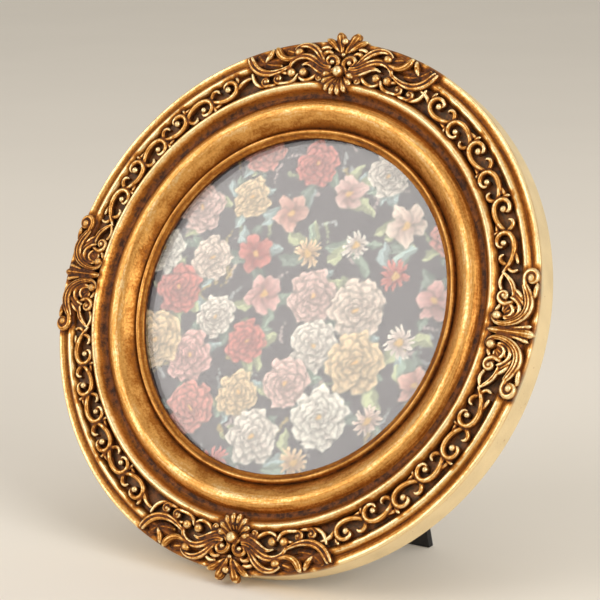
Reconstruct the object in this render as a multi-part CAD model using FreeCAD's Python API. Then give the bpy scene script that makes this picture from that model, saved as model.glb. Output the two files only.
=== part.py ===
import FreeCAD, Part
import math
import os
from FreeCAD import Rotation, Vector

# Round easel-back photo frame: a cast gilt moulding with a glazed rabbet, held shut by turn buttons,
# standing on a hinged leg and carrying a ring for hanging. Millimetres and degrees.
# Each piece is drawn upright, x to the right, y out of the back and z up, with y = 0 on the moulding's
# back face. A rise is a height towards the viewer, measured from the seat of the glass.

# Pose on the table
LEAN = 24.5
LEG_OPENING = 30.0

# Stack held in the rabbet, from the front
PHOTO_RADIUS = 50.8
PHOTO_OVERLAP = 2.8
PANE_MARGIN = 0.3
RABBET_CLEARANCE = 0.5
GLASS_THICKNESS = 2.0
PRINT_THICKNESS = 0.3
CARD_THICKNESS = 1.0
BOARD_THICKNESS = 2.2
VELVET_THICKNESS = 0.35

# Moulding members, from the rim inwards. The large torus takes what is left of the width.
MOULDING_WIDTH = 28.0
BACK_CHAMFER = 0.8
RIM_ROUND = 0.9
FASCIA_WIDTH = 1.7
OUTER_BEAD_WIDTH = 2.9
FRIEZE_WIDTH = 6.3
INNER_BEAD_WIDTH = 2.9
COVE_WIDTH = 2.3
LIP_BEAD_WIDTH = 1.6
SIGHT_SLOPE_WIDTH = 1.3

# Heights of the members above the seat of the glass
SIGHT_RISE = 1.2
LIP_RISE = 1.8
GROOVE_RISE = 0.9
TORUS_RISE = 4.1
COVE_RISE = 3.0
INNER_BEAD_FOOT_RISE = 3.9
INNER_BEAD_RISE = 5.2
FRIEZE_RISE = 2.3
OUTER_BEAD_RISE = 3.7
FASCIA_RISE = 2.8
RIM_RISE = 3.4

# Relief cast on the moulding
ROOT_RISE = 2.0
FACET_TURN = 50.0
RIDGE_CREST_SHARE = 0.55
STEM_TAPER_SHARE = 0.67
GROOVE_REACH_SHARE = 0.8
PEARL_SIDES = 8
EYE_SIDES = 6
PEARL_RADIUS = 1.5
SMALL_PEARL_RADIUS = 0.85
LARGE_EYE_RADIUS = 1.0
PEARL_RISE = 6.2
CARTOUCHE_RISE = 4.9
SCROLL_RISE = 4.3
PETAL_COUNT = 8
PETAL_SPREAD = 156.0
PETAL_LENGTH = 3.4
PETAL_HEAD_RADIUS = 0.85
PETAL_RISE = 5.2
PETAL_LIFT = 0.5
STEM_RADIUS = 0.8
SPINE_ROOT_RADIUS = 0.6
SPINE_TIP_RADIUS = 1.5
FINIAL_REACH = 3.0
FINIAL_PETAL_RADIUS = 1.0

# Turn buttons and their screws
BUTTON_ANGLE = 40.0
BUTTON_SETBACK = 7.4
BUTTON_GRIP = 4.6
BUTTON_WIDTH = 7.0
BUTTON_THICKNESS = 1.0
BUTTON_RIB_WIDTH = 1.6
BUTTON_RIB_HEIGHT = 0.35
BUTTON_GAP = 0.1
BUTTON_CHORDS = 6
SHANK_SIDES = 8
HEAD_SIDES = 12
SCREW_RADIUS = 1.2
SCREW_LENGTH = 7.0
SCREW_HEAD_RADIUS = 2.3
SCREW_HEAD_HEIGHT = 1.1
SCREW_SLOT_WIDTH = 0.6
SCREW_SLOT_DEPTH = 0.45

# Easel leg and its hinge
HINGE_HEIGHT = 18.0
LEG_BOARD_THICKNESS = 2.0
FOLD_GAP = 0.35
LEG_TOP_HALF_WIDTH = 21.0
LEG_FOOT_HALF_WIDTH = 33.0
LEG_CORNER = 4.0
LEG_TOP_GAP = 0.5
LEAF_THICKNESS = 0.7
LEAF_HALF_WIDTH = 13.0
LEAF_HEIGHT = 12.0
LEAF_CORNER = 2.0
KNUCKLE_HALF_WIDTH = 6.0
KNUCKLE_GAP = 0.25
PIN_CLEARANCE = 0.05
PIN_END = 0.6
STOP_HEIGHT = 5.0
STOP_GAP = 0.1
RIVET_SPACING = 15.0
RIVET_SHANK_RADIUS = 1.1
RIVET_HEAD_RADIUS = 2.0
RIVET_HEAD_HEIGHT = 0.9
RIVET_EDGE = 3.2

# Hanging ring and its strap
STRAP_GAP = 3.5
STRAP_LENGTH = 10.5
STRAP_HALF_WIDTH = 4.0
STRAP_THICKNESS = 0.6
STRAP_CORNER = 1.5
WIRE_RADIUS = 0.8
WIRE_SIDES = 8
RING_FACET_TURN = 18.0
WIRE_CLEARANCE = 0.06
RING_HALF_WIDTH = 6.0
RING_CORNER = 1.5
RING_SIDE = 4.5

# One overrun serves every cut
OVERRUN = 1.0

# Sizes that follow
STACK = GLASS_THICKNESS + PRINT_THICKNESS + CARD_THICKNESS + BOARD_THICKNESS + VELVET_THICKNESS
SIGHT_RADIUS = PHOTO_RADIUS - PHOTO_OVERLAP
OUTER_RADIUS = SIGHT_RADIUS + MOULDING_WIDTH
PANE_RADIUS = PHOTO_RADIUS + PANE_MARGIN
RABBET_RADIUS = PANE_RADIUS + RABBET_CLEARANCE
FASCIA_RADIUS = OUTER_RADIUS - RIM_ROUND
OUTER_BEAD_RADIUS = FASCIA_RADIUS - FASCIA_WIDTH
FRIEZE_RADIUS = OUTER_BEAD_RADIUS - OUTER_BEAD_WIDTH
INNER_BEAD_RADIUS = FRIEZE_RADIUS - FRIEZE_WIDTH
COVE_RADIUS = INNER_BEAD_RADIUS - INNER_BEAD_WIDTH
TORUS_RADIUS = COVE_RADIUS - COVE_WIDTH
LIP_RADIUS = SIGHT_RADIUS + SIGHT_SLOPE_WIDTH
GROOVE_RADIUS = LIP_RADIUS + LIP_BEAD_WIDTH
FRIEZE_MIDDLE = FRIEZE_RADIUS - FRIEZE_WIDTH / 2
ORNAMENT_BAND = OUTER_RADIUS - COVE_RADIUS
LEG_THICKNESS = LEG_BOARD_THICKNESS + VELVET_THICKNESS
KNUCKLE_RADIUS = (FOLD_GAP + LEG_THICKNESS + LEAF_THICKNESS) / 2
PIN_RADIUS = KNUCKLE_RADIUS - LEAF_THICKNESS
BUTTON_RADIUS = RABBET_RADIUS + BUTTON_SETBACK
BUTTON_ANGLES = {"upper_right": BUTTON_ANGLE, "upper_left": 180 - BUTTON_ANGLE,
                 "lower_left": 180 + BUTTON_ANGLE, "lower_right": 360 - BUTTON_ANGLE}
STRAP_EYE_HEIGHT = HINGE_HEIGHT + LEAF_HEIGHT + STRAP_GAP + STRAP_LENGTH
EYE_RADIUS = WIRE_RADIUS + WIRE_CLEARANCE + STRAP_THICKNESS

X = Vector(1, 0, 0)
Y = Vector(0, 1, 0)
Z = Vector(0, 0, 1)
ORIGIN = Vector(0, 0, 0)
PIN_AXIS = Vector(0, KNUCKLE_RADIUS, HINGE_HEIGHT)
EYE_AXIS = Vector(0, EYE_RADIUS, STRAP_EYE_HEIGHT)


# Small drawing helpers

def seated(radius, rise):
    """A point of the moulding's section, drawn in the xy plane."""
    return Vector(radius, -(STACK + rise), 0)


def line(a, b):
    return Part.makeLine(a, b)


def arc(a, via, b):
    return Part.Arc(a, via, b).toShape()


def disc(radius, depth, thickness):
    """A flat disc whose rear face lies at the depth in front of the back face."""
    return Part.makeCylinder(radius, thickness, Vector(0, -depth - thickness, 0), Y)


def spun(shape, angle, centre, axis):
    """A turned copy of a shape."""
    copy = shape.copy()
    copy.rotate(centre, axis, angle)
    return copy


def plate(half_width, low, high, front, thickness, corner):
    """A flat plate with two rounded corners at its far end, which may be the lower one."""
    away = math.copysign(corner, high - low)
    slant = corner * (1 - math.sqrt(1 / 2))
    tuck = math.copysign(slant, high - low)
    left, right = -half_width, half_width
    points = [Vector(right, front, low), Vector(right, front, high - away),
              Vector(right - slant, front, high - tuck), Vector(right - corner, front, high),
              Vector(left + corner, front, high), Vector(left + slant, front, high - tuck),
              Vector(left, front, high - away), Vector(left, front, low)]
    edges = [line(points[0], points[1]), arc(points[1], points[2], points[3]),
             line(points[3], points[4]), arc(points[4], points[5], points[6]),
             line(points[6], points[7]), line(points[7], points[0])]
    return Part.Face(Part.Wire(edges)).extrude(Y * thickness)


def block(half_width, low, high, front, back):
    return Part.makeBox(2 * half_width, back - front, high - low, Vector(-half_width, front, low))


def face(corners):
    """A flat face with straight edges round its corners."""
    return Part.Face(Part.makePolygon(corners + corners[:1]))


def polygon(sides, radius, place, depth):
    """The corners of a regular polygon square to y, drawn outside a circle of the radius."""
    reach = radius / math.cos(math.pi / sides)
    return [place + Y * depth + outward(360 * side / sides) * reach for side in range(sides)]


def prism(sides, radius, place, front, back):
    return face(polygon(sides, radius, place, front)).extrude(Y * (back - front))


def barrel(radius, left, right, axis_point):
    """A round bar along x."""
    return Part.makeCylinder(radius, right - left, Vector(left, axis_point.y, axis_point.z), X)


# Moulding

def bend(a, via, b, chords):
    """The points of an arc through three points, as the ends of equal chords, without its first point."""
    curve = Part.Arc(a, via, b)
    span = curve.LastParameter - curve.FirstParameter
    return [curve.value(curve.FirstParameter + span * (index + 1) / chords) for index in range(chords)]


def moulding_section():
    """The members of the moulding, from the back face round the rim to the seat."""
    crest_share = 0.34
    torus_crest = TORUS_RADIUS - crest_share * (TORUS_RADIUS - GROOVE_RADIUS)
    points = [Vector(RABBET_RADIUS, 0, 0), Vector(OUTER_RADIUS - BACK_CHAMFER, 0, 0),
              Vector(OUTER_RADIUS, -BACK_CHAMFER, 0), seated(OUTER_RADIUS, RIM_RISE - RIM_ROUND),
              seated(FASCIA_RADIUS, RIM_RISE), seated(OUTER_BEAD_RADIUS, FASCIA_RISE)]
    bead = seated((OUTER_BEAD_RADIUS + FRIEZE_RADIUS) / 2, OUTER_BEAD_RISE)
    points += bend(points[-1], bead, seated(FRIEZE_RADIUS, FRIEZE_RISE), 3)
    points += [seated(INNER_BEAD_RADIUS, FRIEZE_RISE), seated(INNER_BEAD_RADIUS, INNER_BEAD_FOOT_RISE)]
    inner_bead = seated((INNER_BEAD_RADIUS + COVE_RADIUS) / 2, INNER_BEAD_RISE)
    points += bend(points[-1], inner_bead, seated(COVE_RADIUS, INNER_BEAD_FOOT_RISE), 3)
    points.append(seated(TORUS_RADIUS, COVE_RISE))
    points += bend(points[-1], seated(torus_crest, TORUS_RISE), seated(GROOVE_RADIUS, GROOVE_RISE), 3)
    points += [seated(LIP_RADIUS, LIP_RISE), seated(SIGHT_RADIUS, SIGHT_RISE),
               seated(SIGHT_RADIUS, 0), seated(RABBET_RADIUS, 0)]
    return face(points)


# Relief. Every mass of it is a low ridge or dome with flat facets, rooted in the frieze.

def outward(angle):
    turn = math.radians(angle)
    return Vector(math.cos(turn), 0, math.sin(turn))


def on_face(angle, radius, rise=0):
    """A point of the relief, at an angle round the frame and a rise above the seat."""
    return outward(angle) * radius - Y * (STACK + rise)


def faceted(sections, closed=False):
    """A solid of flat triangles through a row of sections with equal counts of points. The row ends in
    caps that spread from each end's first point, or it is closed and runs back into its start."""
    corners = [] if closed else [(end[0], near, far) for end in (sections[0], sections[-1])
                                 for near, far in zip(end[1:], end[2:])]
    for near, far in zip(sections, sections[1:] + (sections[:1] if closed else [])):
        for index in range(len(near)):
            after = (index + 1) % len(near)
            corners += [(near[index], near[after], far[after]), (near[index], far[after], far[index])]
    faces = [Part.Face(Part.makePolygon([first, second, third, first])) for first, second, third in corners]
    solid = Part.Solid(Part.Shell(faces))
    return solid if solid.Volume > 0 else solid.reversed()


def crossing(point, way, width, crest):
    """The section of a ridge: rooted below the frieze, with a narrower flat crest."""
    across = way.cross(Y) * width
    crown = across * RIDGE_CREST_SHARE
    return [point - across - Y * ROOT_RISE, point - crown - Y * crest,
            point + crown - Y * crest, point + across - Y * ROOT_RISE]


def ridge(stations, widths, crests):
    """A ridge along stations, each a point at the seat and a course. Its half width and its crest run
    evenly from the first value to the last."""
    sections = []
    for index, (point, way) in enumerate(stations):
        share = index / (len(stations) - 1)
        width = widths[0] + share * (widths[1] - widths[0])
        crest = crests[0] + share * (crests[1] - crests[0])
        sections.append(crossing(point, way, width, crest))
    return faceted(sections)


def dome(centre, size, crest, sides):
    """A pearl or an eye: a short drum with a cut-off cone on it, at a centre on the seat."""
    levels = ((ROOT_RISE, 1), (crest - size / 2, 1), (crest, 1 / 2))
    return faceted([[centre + outward(360 * side / sides) * size * share - Y * rise for side in range(sides)]
                    for rise, share in levels])


def petal(root, head, widths, crests):
    """A gadroon: a ridge that widens and rises from its root and closes in a blunt head."""
    way = (head - root).normalize()
    closing = head + way * widths[1] * RIDGE_CREST_SHARE
    return faceted([crossing(root, way, widths[0], crests[0]), crossing(head, way, widths[1], crests[1]),
                    crossing(closing, way, widths[1] / 2, (crests[1] + ROOT_RISE) / 2)])


def course(anchor, heading, runs, facet):
    """Stations along tangent runs, drawn as with a compass: each run is a radius and a signed turn, or a
    length and no turn. The heading is an angle in the frame's plane, anticlockwise from the front."""
    stations = [(anchor, outward(heading))]
    for size, turn in runs:
        last, way = stations[-1]
        if turn == 0:
            stations.append((last + way * size, way))
            continue
        side = math.copysign(1, turn)
        centre = last + outward(heading + 90 * side) * size
        steps = max(1, round(abs(turn) / facet))
        for index in range(steps):
            swing = turn * (index + 1) / steps
            stations.append((centre + outward(heading - 90 * side + swing) * size, outward(heading + swing)))
        heading += turn
    return stations


def scroll(anchor, heading, runs, eye):
    """A tapering stem of the cartouches, drawn along runs and ending in a round eye."""
    stations = course(anchor, heading, runs, FACET_TURN)
    stem = ridge(stations, (STEM_RADIUS, STEM_RADIUS * STEM_TAPER_SHARE), (CARTOUCHE_RISE, SCROLL_RISE))
    return [stem, dome(stations[-1][0], eye, SCROLL_RISE + eye / 3, EYE_SIDES)]


def shell_fan():
    """Half of the scallop that opens inwards from the pearl of the head cartouche. Its petals are creases
    raised at the tips, with a groove between each two."""
    centre = on_face(90, FRIEZE_MIDDLE)
    reach = PEARL_RADIUS / 2 + PETAL_LENGTH + PETAL_HEAD_RADIUS
    low, high = [centre - Y * ROOT_RISE], [centre - Y * PETAL_RISE]
    for index in range(PETAL_COUNT + 1):
        tip = index % 2
        length = reach * (1 if tip else GROOVE_REACH_SHARE)
        way = outward(270 + PETAL_SPREAD * index / (2 * PETAL_COUNT)) * length
        low.append(centre + way - Y * ROOT_RISE)
        high.append(centre + way - Y * (PETAL_RISE + PETAL_LIFT * (1 if tip else -1)))
    return faceted([low, high])


def finial():
    """Half of the small lobed leaf that stands past the rim over the head cartouche."""
    root = on_face(90, OUTER_RADIUS - FINIAL_PETAL_RADIUS)
    lobes = []
    for lean, reach_share in ((20, 1), (66, 0.6)):
        tip = root + outward(90 - lean) * FINIAL_REACH * reach_share
        lobes.append(petal(root, tip, (FINIAL_PETAL_RADIUS / 2, FINIAL_PETAL_RADIUS), (RIM_RISE, RIM_RISE)))
    return lobes


def head_scroll():
    """The hollow leaf of the head cartouche: along the rim, then curled back over the outer bead."""
    band = ORNAMENT_BAND
    root_angle = 77
    runs = ((0.5 * band, -40), (0.22 * band, -150))
    anchor = on_face(root_angle, OUTER_RADIUS - 2 * STEM_RADIUS)
    return scroll(anchor, root_angle - 75, runs, LARGE_EYE_RADIUS)


def side_scroll():
    """The curl of the side cartouche: it leaves the spine's tip along the rim and turns in on the frieze."""
    band = ORNAMENT_BAND
    runs = ((0.42 * band, 90), (0.2 * band, 110))
    return scroll(on_face(2, OUTER_RADIUS - STEM_RADIUS), 95, runs, SMALL_PEARL_RADIUS)


def relief():
    """The relief of the first quarter, with the pearl and the spine across its edges."""
    pearl = dome(on_face(90, FRIEZE_MIDDLE), PEARL_RADIUS, PEARL_RISE, PEARL_SIDES)
    root = (INNER_BEAD_RADIUS + COVE_RADIUS) / 2
    spine = petal(on_face(0, root), on_face(0, OUTER_RADIUS - SPINE_TIP_RADIUS),
                  (SPINE_ROOT_RADIUS, SPINE_TIP_RADIUS), (SCROLL_RISE, CARTOUCHE_RISE))
    return [pearl, spine, shell_fan()] + finial() + head_scroll() + side_scroll()


def quarter():
    """One quarter of the moulding. The frame repeats it by mirrors."""
    band = moulding_section().revolve(ORIGIN, Y, -90)
    size = 2 * OUTER_RADIUS
    return band.fuse(relief()).common(Part.makeBox(size, size, size, Vector(0, -size, 0)))


def screw_places():
    return {name: outward(angle) * BUTTON_RADIUS for name, angle in BUTTON_ANGLES.items()}


def moulding():
    """The cast ring with its relief, its stepped rabbet and the pilot holes for the turn buttons."""
    part = quarter()
    half = part.fuse(part.mirror(ORIGIN, X))
    ring = half.fuse(half.mirror(ORIGIN, Z))
    engaged = SCREW_LENGTH - BUTTON_THICKNESS - 2 * BUTTON_GAP
    places = screw_places().values()
    return ring.cut([prism(SHANK_SIDES, SCREW_RADIUS, place, -engaged, OVERRUN) for place in places])


# Stack in the rabbet

def stack_disc(radius, layers_behind, thickness):
    return disc(radius, sum(layers_behind), thickness)


def glass_pane():
    behind = [PRINT_THICKNESS, CARD_THICKNESS, BOARD_THICKNESS, VELVET_THICKNESS]
    return stack_disc(PANE_RADIUS, behind, GLASS_THICKNESS)


def photo_print():
    return stack_disc(PHOTO_RADIUS, [CARD_THICKNESS, BOARD_THICKNESS, VELVET_THICKNESS], PRINT_THICKNESS)


def filler_card():
    return stack_disc(PANE_RADIUS, [BOARD_THICKNESS, VELVET_THICKNESS], CARD_THICKNESS)


def board_rivet_places():
    """Where the hinge and the strap are riveted through the backing."""
    top = HINGE_HEIGHT + LEAF_HEIGHT - RIVET_EDGE
    strap = STRAP_EYE_HEIGHT - STRAP_LENGTH + RIVET_EDGE
    hinge = [Vector(side * RIVET_SPACING / 2, 0, top) for side in (-1, 1)]
    return hinge, [Vector(0, 0, strap)]


def drilled(shape, places):
    """The shape with a rivet hole through it at each place."""
    depth = STACK + KNUCKLE_RADIUS
    return shape.cut([prism(SHANK_SIDES, RIVET_SHANK_RADIUS, place, -depth, depth) for place in places])


def backing_board():
    hinge, strap = board_rivet_places()
    return drilled(stack_disc(PANE_RADIUS, [VELVET_THICKNESS], BOARD_THICKNESS), hinge + strap)


def backing_velvet():
    hinge, strap = board_rivet_places()
    return drilled(stack_disc(PANE_RADIUS, [], VELVET_THICKNESS), hinge + strap)


# Fasteners

def headed_pin(place, front, seat, shank, head, height):
    """A pin whose shank runs from the front to the seat, and whose coned head stands on the seat."""
    crown_share = 0.55
    cone = faceted([polygon(HEAD_SIDES, head, place, seat),
                    polygon(HEAD_SIDES, head * crown_share, place, seat + height)])
    return prism(SHANK_SIDES, shank, place, front, seat).fuse(cone)


def rivet(place, front, seat):
    return headed_pin(place, front, seat, RIVET_SHANK_RADIUS, RIVET_HEAD_RADIUS, RIVET_HEAD_HEIGHT)


def turn_button(angle):
    """A flat turn button with rounded ends and a pressed rib, pointing at the middle when closed."""
    half = BUTTON_WIDTH / 2
    reach = BUTTON_SETBACK + BUTTON_GRIP - half
    low, high = BUTTON_GAP, BUTTON_GAP + BUTTON_THICKNESS
    tail, tip = Vector(0, low, 0), Vector(-reach, low, 0)
    right, left = Vector(0, 0, half), Vector(0, 0, -half)
    outline = [tail + left, tip + left] + bend(tip + left, tip - X * half, tip + right, BUTTON_CHORDS)
    outline += bend(tail + right, tail + X * half, tail + left, BUTTON_CHORDS)[:-1]
    outline.insert(len(outline) - BUTTON_CHORDS + 1, tail + right)
    start, foot = -SCREW_HEAD_RADIUS - BUTTON_RIB_WIDTH / 2, BUTTON_RIB_WIDTH / 2
    crown, top = foot - BUTTON_RIB_HEIGHT, high + BUTTON_RIB_HEIGHT
    rib = face([Vector(start, high, -foot), Vector(start, high, foot), Vector(start, top, crown),
                Vector(start, top, -crown)]).extrude(-X * (reach + start))
    shank_corner = SCREW_RADIUS / math.cos(math.pi / SHANK_SIDES)
    bore = prism(HEAD_SIDES, shank_corner + PIN_CLEARANCE, ORIGIN, 0, high + OVERRUN)
    button = face(outline).extrude(Y * BUTTON_THICKNESS).fuse(rib).cut(bore)
    button.translate(X * BUTTON_RADIUS)
    return spun(button, -angle, ORIGIN, Y)


def button_screw(place):
    """A slotted screw whose shank fills the pilot hole."""
    seat = 2 * BUTTON_GAP + BUTTON_THICKNESS
    screw = headed_pin(place, seat - SCREW_LENGTH, seat, SCREW_RADIUS, SCREW_HEAD_RADIUS, SCREW_HEAD_HEIGHT)
    floor = seat + SCREW_HEAD_HEIGHT - SCREW_SLOT_DEPTH
    corner = place + Vector(-SCREW_HEAD_RADIUS, floor, -SCREW_SLOT_WIDTH / 2)
    slot = Part.makeBox(2 * SCREW_HEAD_RADIUS, SCREW_SLOT_DEPTH + OVERRUN, SCREW_SLOT_WIDTH, corner)
    return screw.cut(slot)


# Hinge and leg, drawn with the leg folded flat

def hinge_fixed_leaf():
    """The leaf on the backing: a plate with two outer knuckles and a notch for the middle one."""
    leaf = plate(LEAF_HALF_WIDTH, HINGE_HEIGHT, HINGE_HEIGHT + LEAF_HEIGHT, 0, LEAF_THICKNESS, LEAF_CORNER)
    roll = barrel(KNUCKLE_RADIUS, -LEAF_HALF_WIDTH, LEAF_HALF_WIDTH, PIN_AXIS)
    room = KNUCKLE_RADIUS + KNUCKLE_GAP
    notch = block(KNUCKLE_HALF_WIDTH + KNUCKLE_GAP, HINGE_HEIGHT - room, HINGE_HEIGHT + room,
                  -OVERRUN, 2 * KNUCKLE_RADIUS + OVERRUN)
    bore = barrel(PIN_RADIUS, -LEAF_HALF_WIDTH - OVERRUN, LEAF_HALF_WIDTH + OVERRUN, PIN_AXIS)
    hinge, _ = board_rivet_places()
    return drilled(leaf.fuse(roll).cut(notch).cut(bore), hinge)


def leg_rivet_places():
    low = HINGE_HEIGHT - LEAF_HEIGHT + RIVET_EDGE
    return [Vector(side * RIVET_SPACING / 2, 0, low) for side in (-1, 1)]


def hinge_moving_leaf():
    """The leaf on the leg: a plate, the middle knuckle, and a stop tongue that meets the fixed leaf."""
    rear = 2 * KNUCKLE_RADIUS
    leaf = plate(LEAF_HALF_WIDTH, HINGE_HEIGHT, HINGE_HEIGHT - LEAF_HEIGHT, rear - LEAF_THICKNESS,
                 LEAF_THICKNESS, LEAF_CORNER)
    room = KNUCKLE_RADIUS + KNUCKLE_GAP
    relief_cut = block(LEAF_HALF_WIDTH + OVERRUN, HINGE_HEIGHT - room, HINGE_HEIGHT + OVERRUN,
                       0, rear + OVERRUN)
    neck = block(KNUCKLE_HALF_WIDTH, HINGE_HEIGHT - room, HINGE_HEIGHT, rear - LEAF_THICKNESS, rear)
    roll = barrel(KNUCKLE_RADIUS, -KNUCKLE_HALF_WIDTH, KNUCKLE_HALF_WIDTH, PIN_AXIS)
    front = LEAF_THICKNESS + STOP_GAP
    tongue = block(KNUCKLE_HALF_WIDTH, HINGE_HEIGHT, HINGE_HEIGHT + KNUCKLE_RADIUS + STOP_HEIGHT,
                   front, front + LEAF_THICKNESS)
    tongue = spun(tongue, -LEG_OPENING, PIN_AXIS, X)
    bore = barrel(PIN_RADIUS + PIN_CLEARANCE, -LEAF_HALF_WIDTH, LEAF_HALF_WIDTH, PIN_AXIS)
    shape = leaf.cut(relief_cut).fuse([neck, roll, tongue]).cut(bore)
    return drilled(shape, leg_rivet_places())


def hinge_pin():
    end = LEAF_HALF_WIDTH + PIN_END
    return barrel(PIN_RADIUS, -end, end, PIN_AXIS)


def leg_outline(front, thickness):
    """The leg's tapered outline, drawn long enough to be cut level with the table."""
    top = HINGE_HEIGHT - KNUCKLE_RADIUS - LEG_TOP_GAP
    foot = -OUTER_RADIUS - LEG_FOOT_HALF_WIDTH
    level = HINGE_HEIGHT - leg_reach()
    slope = (LEG_FOOT_HALF_WIDTH - LEG_TOP_HALF_WIDTH) / (top - level)
    wide = LEG_FOOT_HALF_WIDTH + slope * (level - foot)
    corner = LEG_CORNER
    shoulder = LEG_TOP_HALF_WIDTH + slope * corner
    tuck = corner * (1 - math.sqrt(1 / 2))
    points = [Vector(wide, front, foot), Vector(shoulder, front, top - corner),
              Vector(LEG_TOP_HALF_WIDTH - tuck, front, top - tuck),
              Vector(LEG_TOP_HALF_WIDTH - corner, front, top)]
    left = [Vector(-p.x, p.y, p.z) for p in points]
    edges = [line(points[0], points[1]), arc(points[1], points[2], points[3]), line(points[3], left[3]),
             arc(left[3], left[2], left[1]), line(left[1], left[0]), line(left[0], points[0])]
    return Part.Face(Part.Wire(edges)).extrude(Y * thickness)


def easel_leg():
    return drilled(leg_outline(FOLD_GAP, LEG_BOARD_THICKNESS), leg_rivet_places())


def leg_velvet():
    return drilled(leg_outline(FOLD_GAP + LEG_BOARD_THICKNESS, VELVET_THICKNESS), leg_rivet_places())


# Hanging ring and strap

def hanger_strap():
    """A strap rolled round the ring's bar and riveted to the backing."""
    low = STRAP_EYE_HEIGHT - STRAP_LENGTH
    leaf = plate(STRAP_HALF_WIDTH, STRAP_EYE_HEIGHT, low, 0, STRAP_THICKNESS, STRAP_CORNER)
    roll = barrel(EYE_RADIUS, -STRAP_HALF_WIDTH, STRAP_HALF_WIDTH, EYE_AXIS)
    end = STRAP_HALF_WIDTH + OVERRUN
    bore = barrel(EYE_RADIUS - STRAP_THICKNESS, -end, end, EYE_AXIS)
    _, strap = board_rivet_places()
    return drilled(leaf.fuse(roll).cut(bore), strap)


def hanger_ring():
    """A D-shaped wire ring that hangs plumb from the strap's eye."""
    flat = RING_HALF_WIDTH - RING_CORNER
    runs = ((2 * flat, 0), (RING_CORNER, -90), (RING_SIDE, 0), (RING_HALF_WIDTH, -180), (RING_SIDE, 0),
            (RING_CORNER, -90))
    stations = course(EYE_AXIS - X * flat, 0, runs, RING_FACET_TURN)[:-1]
    turns = [2 * math.pi * side / WIRE_SIDES for side in range(WIRE_SIDES)]
    wire = faceted([[point + (way.cross(Y) * math.cos(turn) + Y * math.sin(turn)) * WIRE_RADIUS
                     for turn in turns] for point, way in stations], closed=True)
    return spun(wire, LEAN, EYE_AXIS, X)


# Placing on the table

def leaned(shape):
    """The shape tipped back with the frame, about the middle of the moulding's back face."""
    return spun(shape, -LEAN, ORIGIN, X)


def leaned_point(point):
    return Rotation(X, -LEAN).multVec(point)


def table_level():
    """The height of the table under the leaning moulding, whose lowest point is on its back chamfer."""
    return leaned_point(Vector(0, -BACK_CHAMFER, -OUTER_RADIUS)).z


def leg_reach():
    """From the hinge pin to the table, along the open leg."""
    drop = leaned_point(PIN_AXIS).z - table_level()
    return drop / math.cos(math.radians(LEG_OPENING - LEAN))


def opened(shape):
    """A leg piece swung open on the pin, then tipped with the frame."""
    return leaned(spun(shape, LEG_OPENING, PIN_AXIS, X))


def cut_level(shape):
    """A leg piece cut off level with the table, so that its foot rests flat."""
    size = 2 * OUTER_RADIUS
    below = Part.makeBox(2 * size, 2 * size, size, Vector(-size, -size, table_level() - size))
    return shape.cut(below)


def solids():
    """Every piece by its node's name, leaning on the table."""
    hinge, strap = board_rivet_places()
    back = -BOARD_THICKNESS - VELVET_THICKNESS
    leg_seat = FOLD_GAP + LEG_THICKNESS + LEAF_THICKNESS
    screws = [button_screw(place) for place in screw_places().values()]
    board_rivets = [rivet(place, back, LEAF_THICKNESS) for place in hinge]
    leg_rivets = [rivet(place, FOLD_GAP, leg_seat) for place in leg_rivet_places()]
    shapes = {
        "moulding": leaned(moulding()),
        "glass_pane": leaned(glass_pane()),
        "photo_print": leaned(photo_print()),
        "filler_card": leaned(filler_card()),
        "backing_board": leaned(backing_board()),
        "backing_velvet": leaned(backing_velvet()),
        "turn_button_screws": leaned(Part.makeCompound(screws)),
        "hinge_fixed_leaf": leaned(hinge_fixed_leaf()),
        "hinge_pin": leaned(hinge_pin()),
        "hinge_board_rivets": leaned(Part.makeCompound(board_rivets)),
        "hinge_moving_leaf": opened(hinge_moving_leaf()),
        "hinge_leg_rivets": opened(Part.makeCompound(leg_rivets)),
        "easel_leg": cut_level(opened(easel_leg())),
        "leg_velvet": cut_level(opened(leg_velvet())),
        "hanger_strap": leaned(hanger_strap()),
        "hanger_rivet": leaned(rivet(strap[0], back, STRAP_THICKNESS)),
        "hanger_ring": leaned(hanger_ring()),
    }
    for name, angle in BUTTON_ANGLES.items():
        shapes["turn_button_" + name] = leaned(turn_button(angle))
    return shapes


def main():
    os.makedirs("parts", exist_ok=True)
    shapes = solids()
    box = Part.makeCompound(list(shapes.values())).optimalBoundingBox(False, False)
    shift = Vector(0, -box.Center.y, -table_level())
    for name, shape in shapes.items():
        shape.translate(shift)
        shape.exportStep(os.path.join("parts", name + ".step"))
        print(f"{name}: {len(shape.Solids)} solid, valid {shape.isValid()}, {shape.Volume:.1f} mm3")
    print("box from", Vector(box.XMin, box.YMin, box.ZMin) + shift)
    print("box to", Vector(box.XMax, box.YMax, box.ZMax) + shift)
    for label, point in (("pin", PIN_AXIS), ("eye", EYE_AXIS), ("back centre", ORIGIN)):
        print(label, leaned_point(point) + shift)
    for name, place in screw_places().items():
        print("screw", name, leaned_point(place) + shift)
    print("back normal", leaned_point(Y), "leg reach", leg_reach())


main()
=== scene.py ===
"""Dresses the round easel photo frame: the cast gilt ring and its carving, the glazed print, the flocked
back with its brass hardware and the leg, on a pale floor in soft studio light. Sizes are in millimetres in
the frame's own upright position; each finished piece is tipped back and brought to metres at the end."""
import logging
import math
from contextlib import contextmanager
from dataclasses import dataclass, field
from enum import Enum
from typing import Iterable, Iterator, Sequence

import bpy
import numpy as np
from mathutils import Matrix, Vector
from mathutils.kdtree import KDTree


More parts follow.
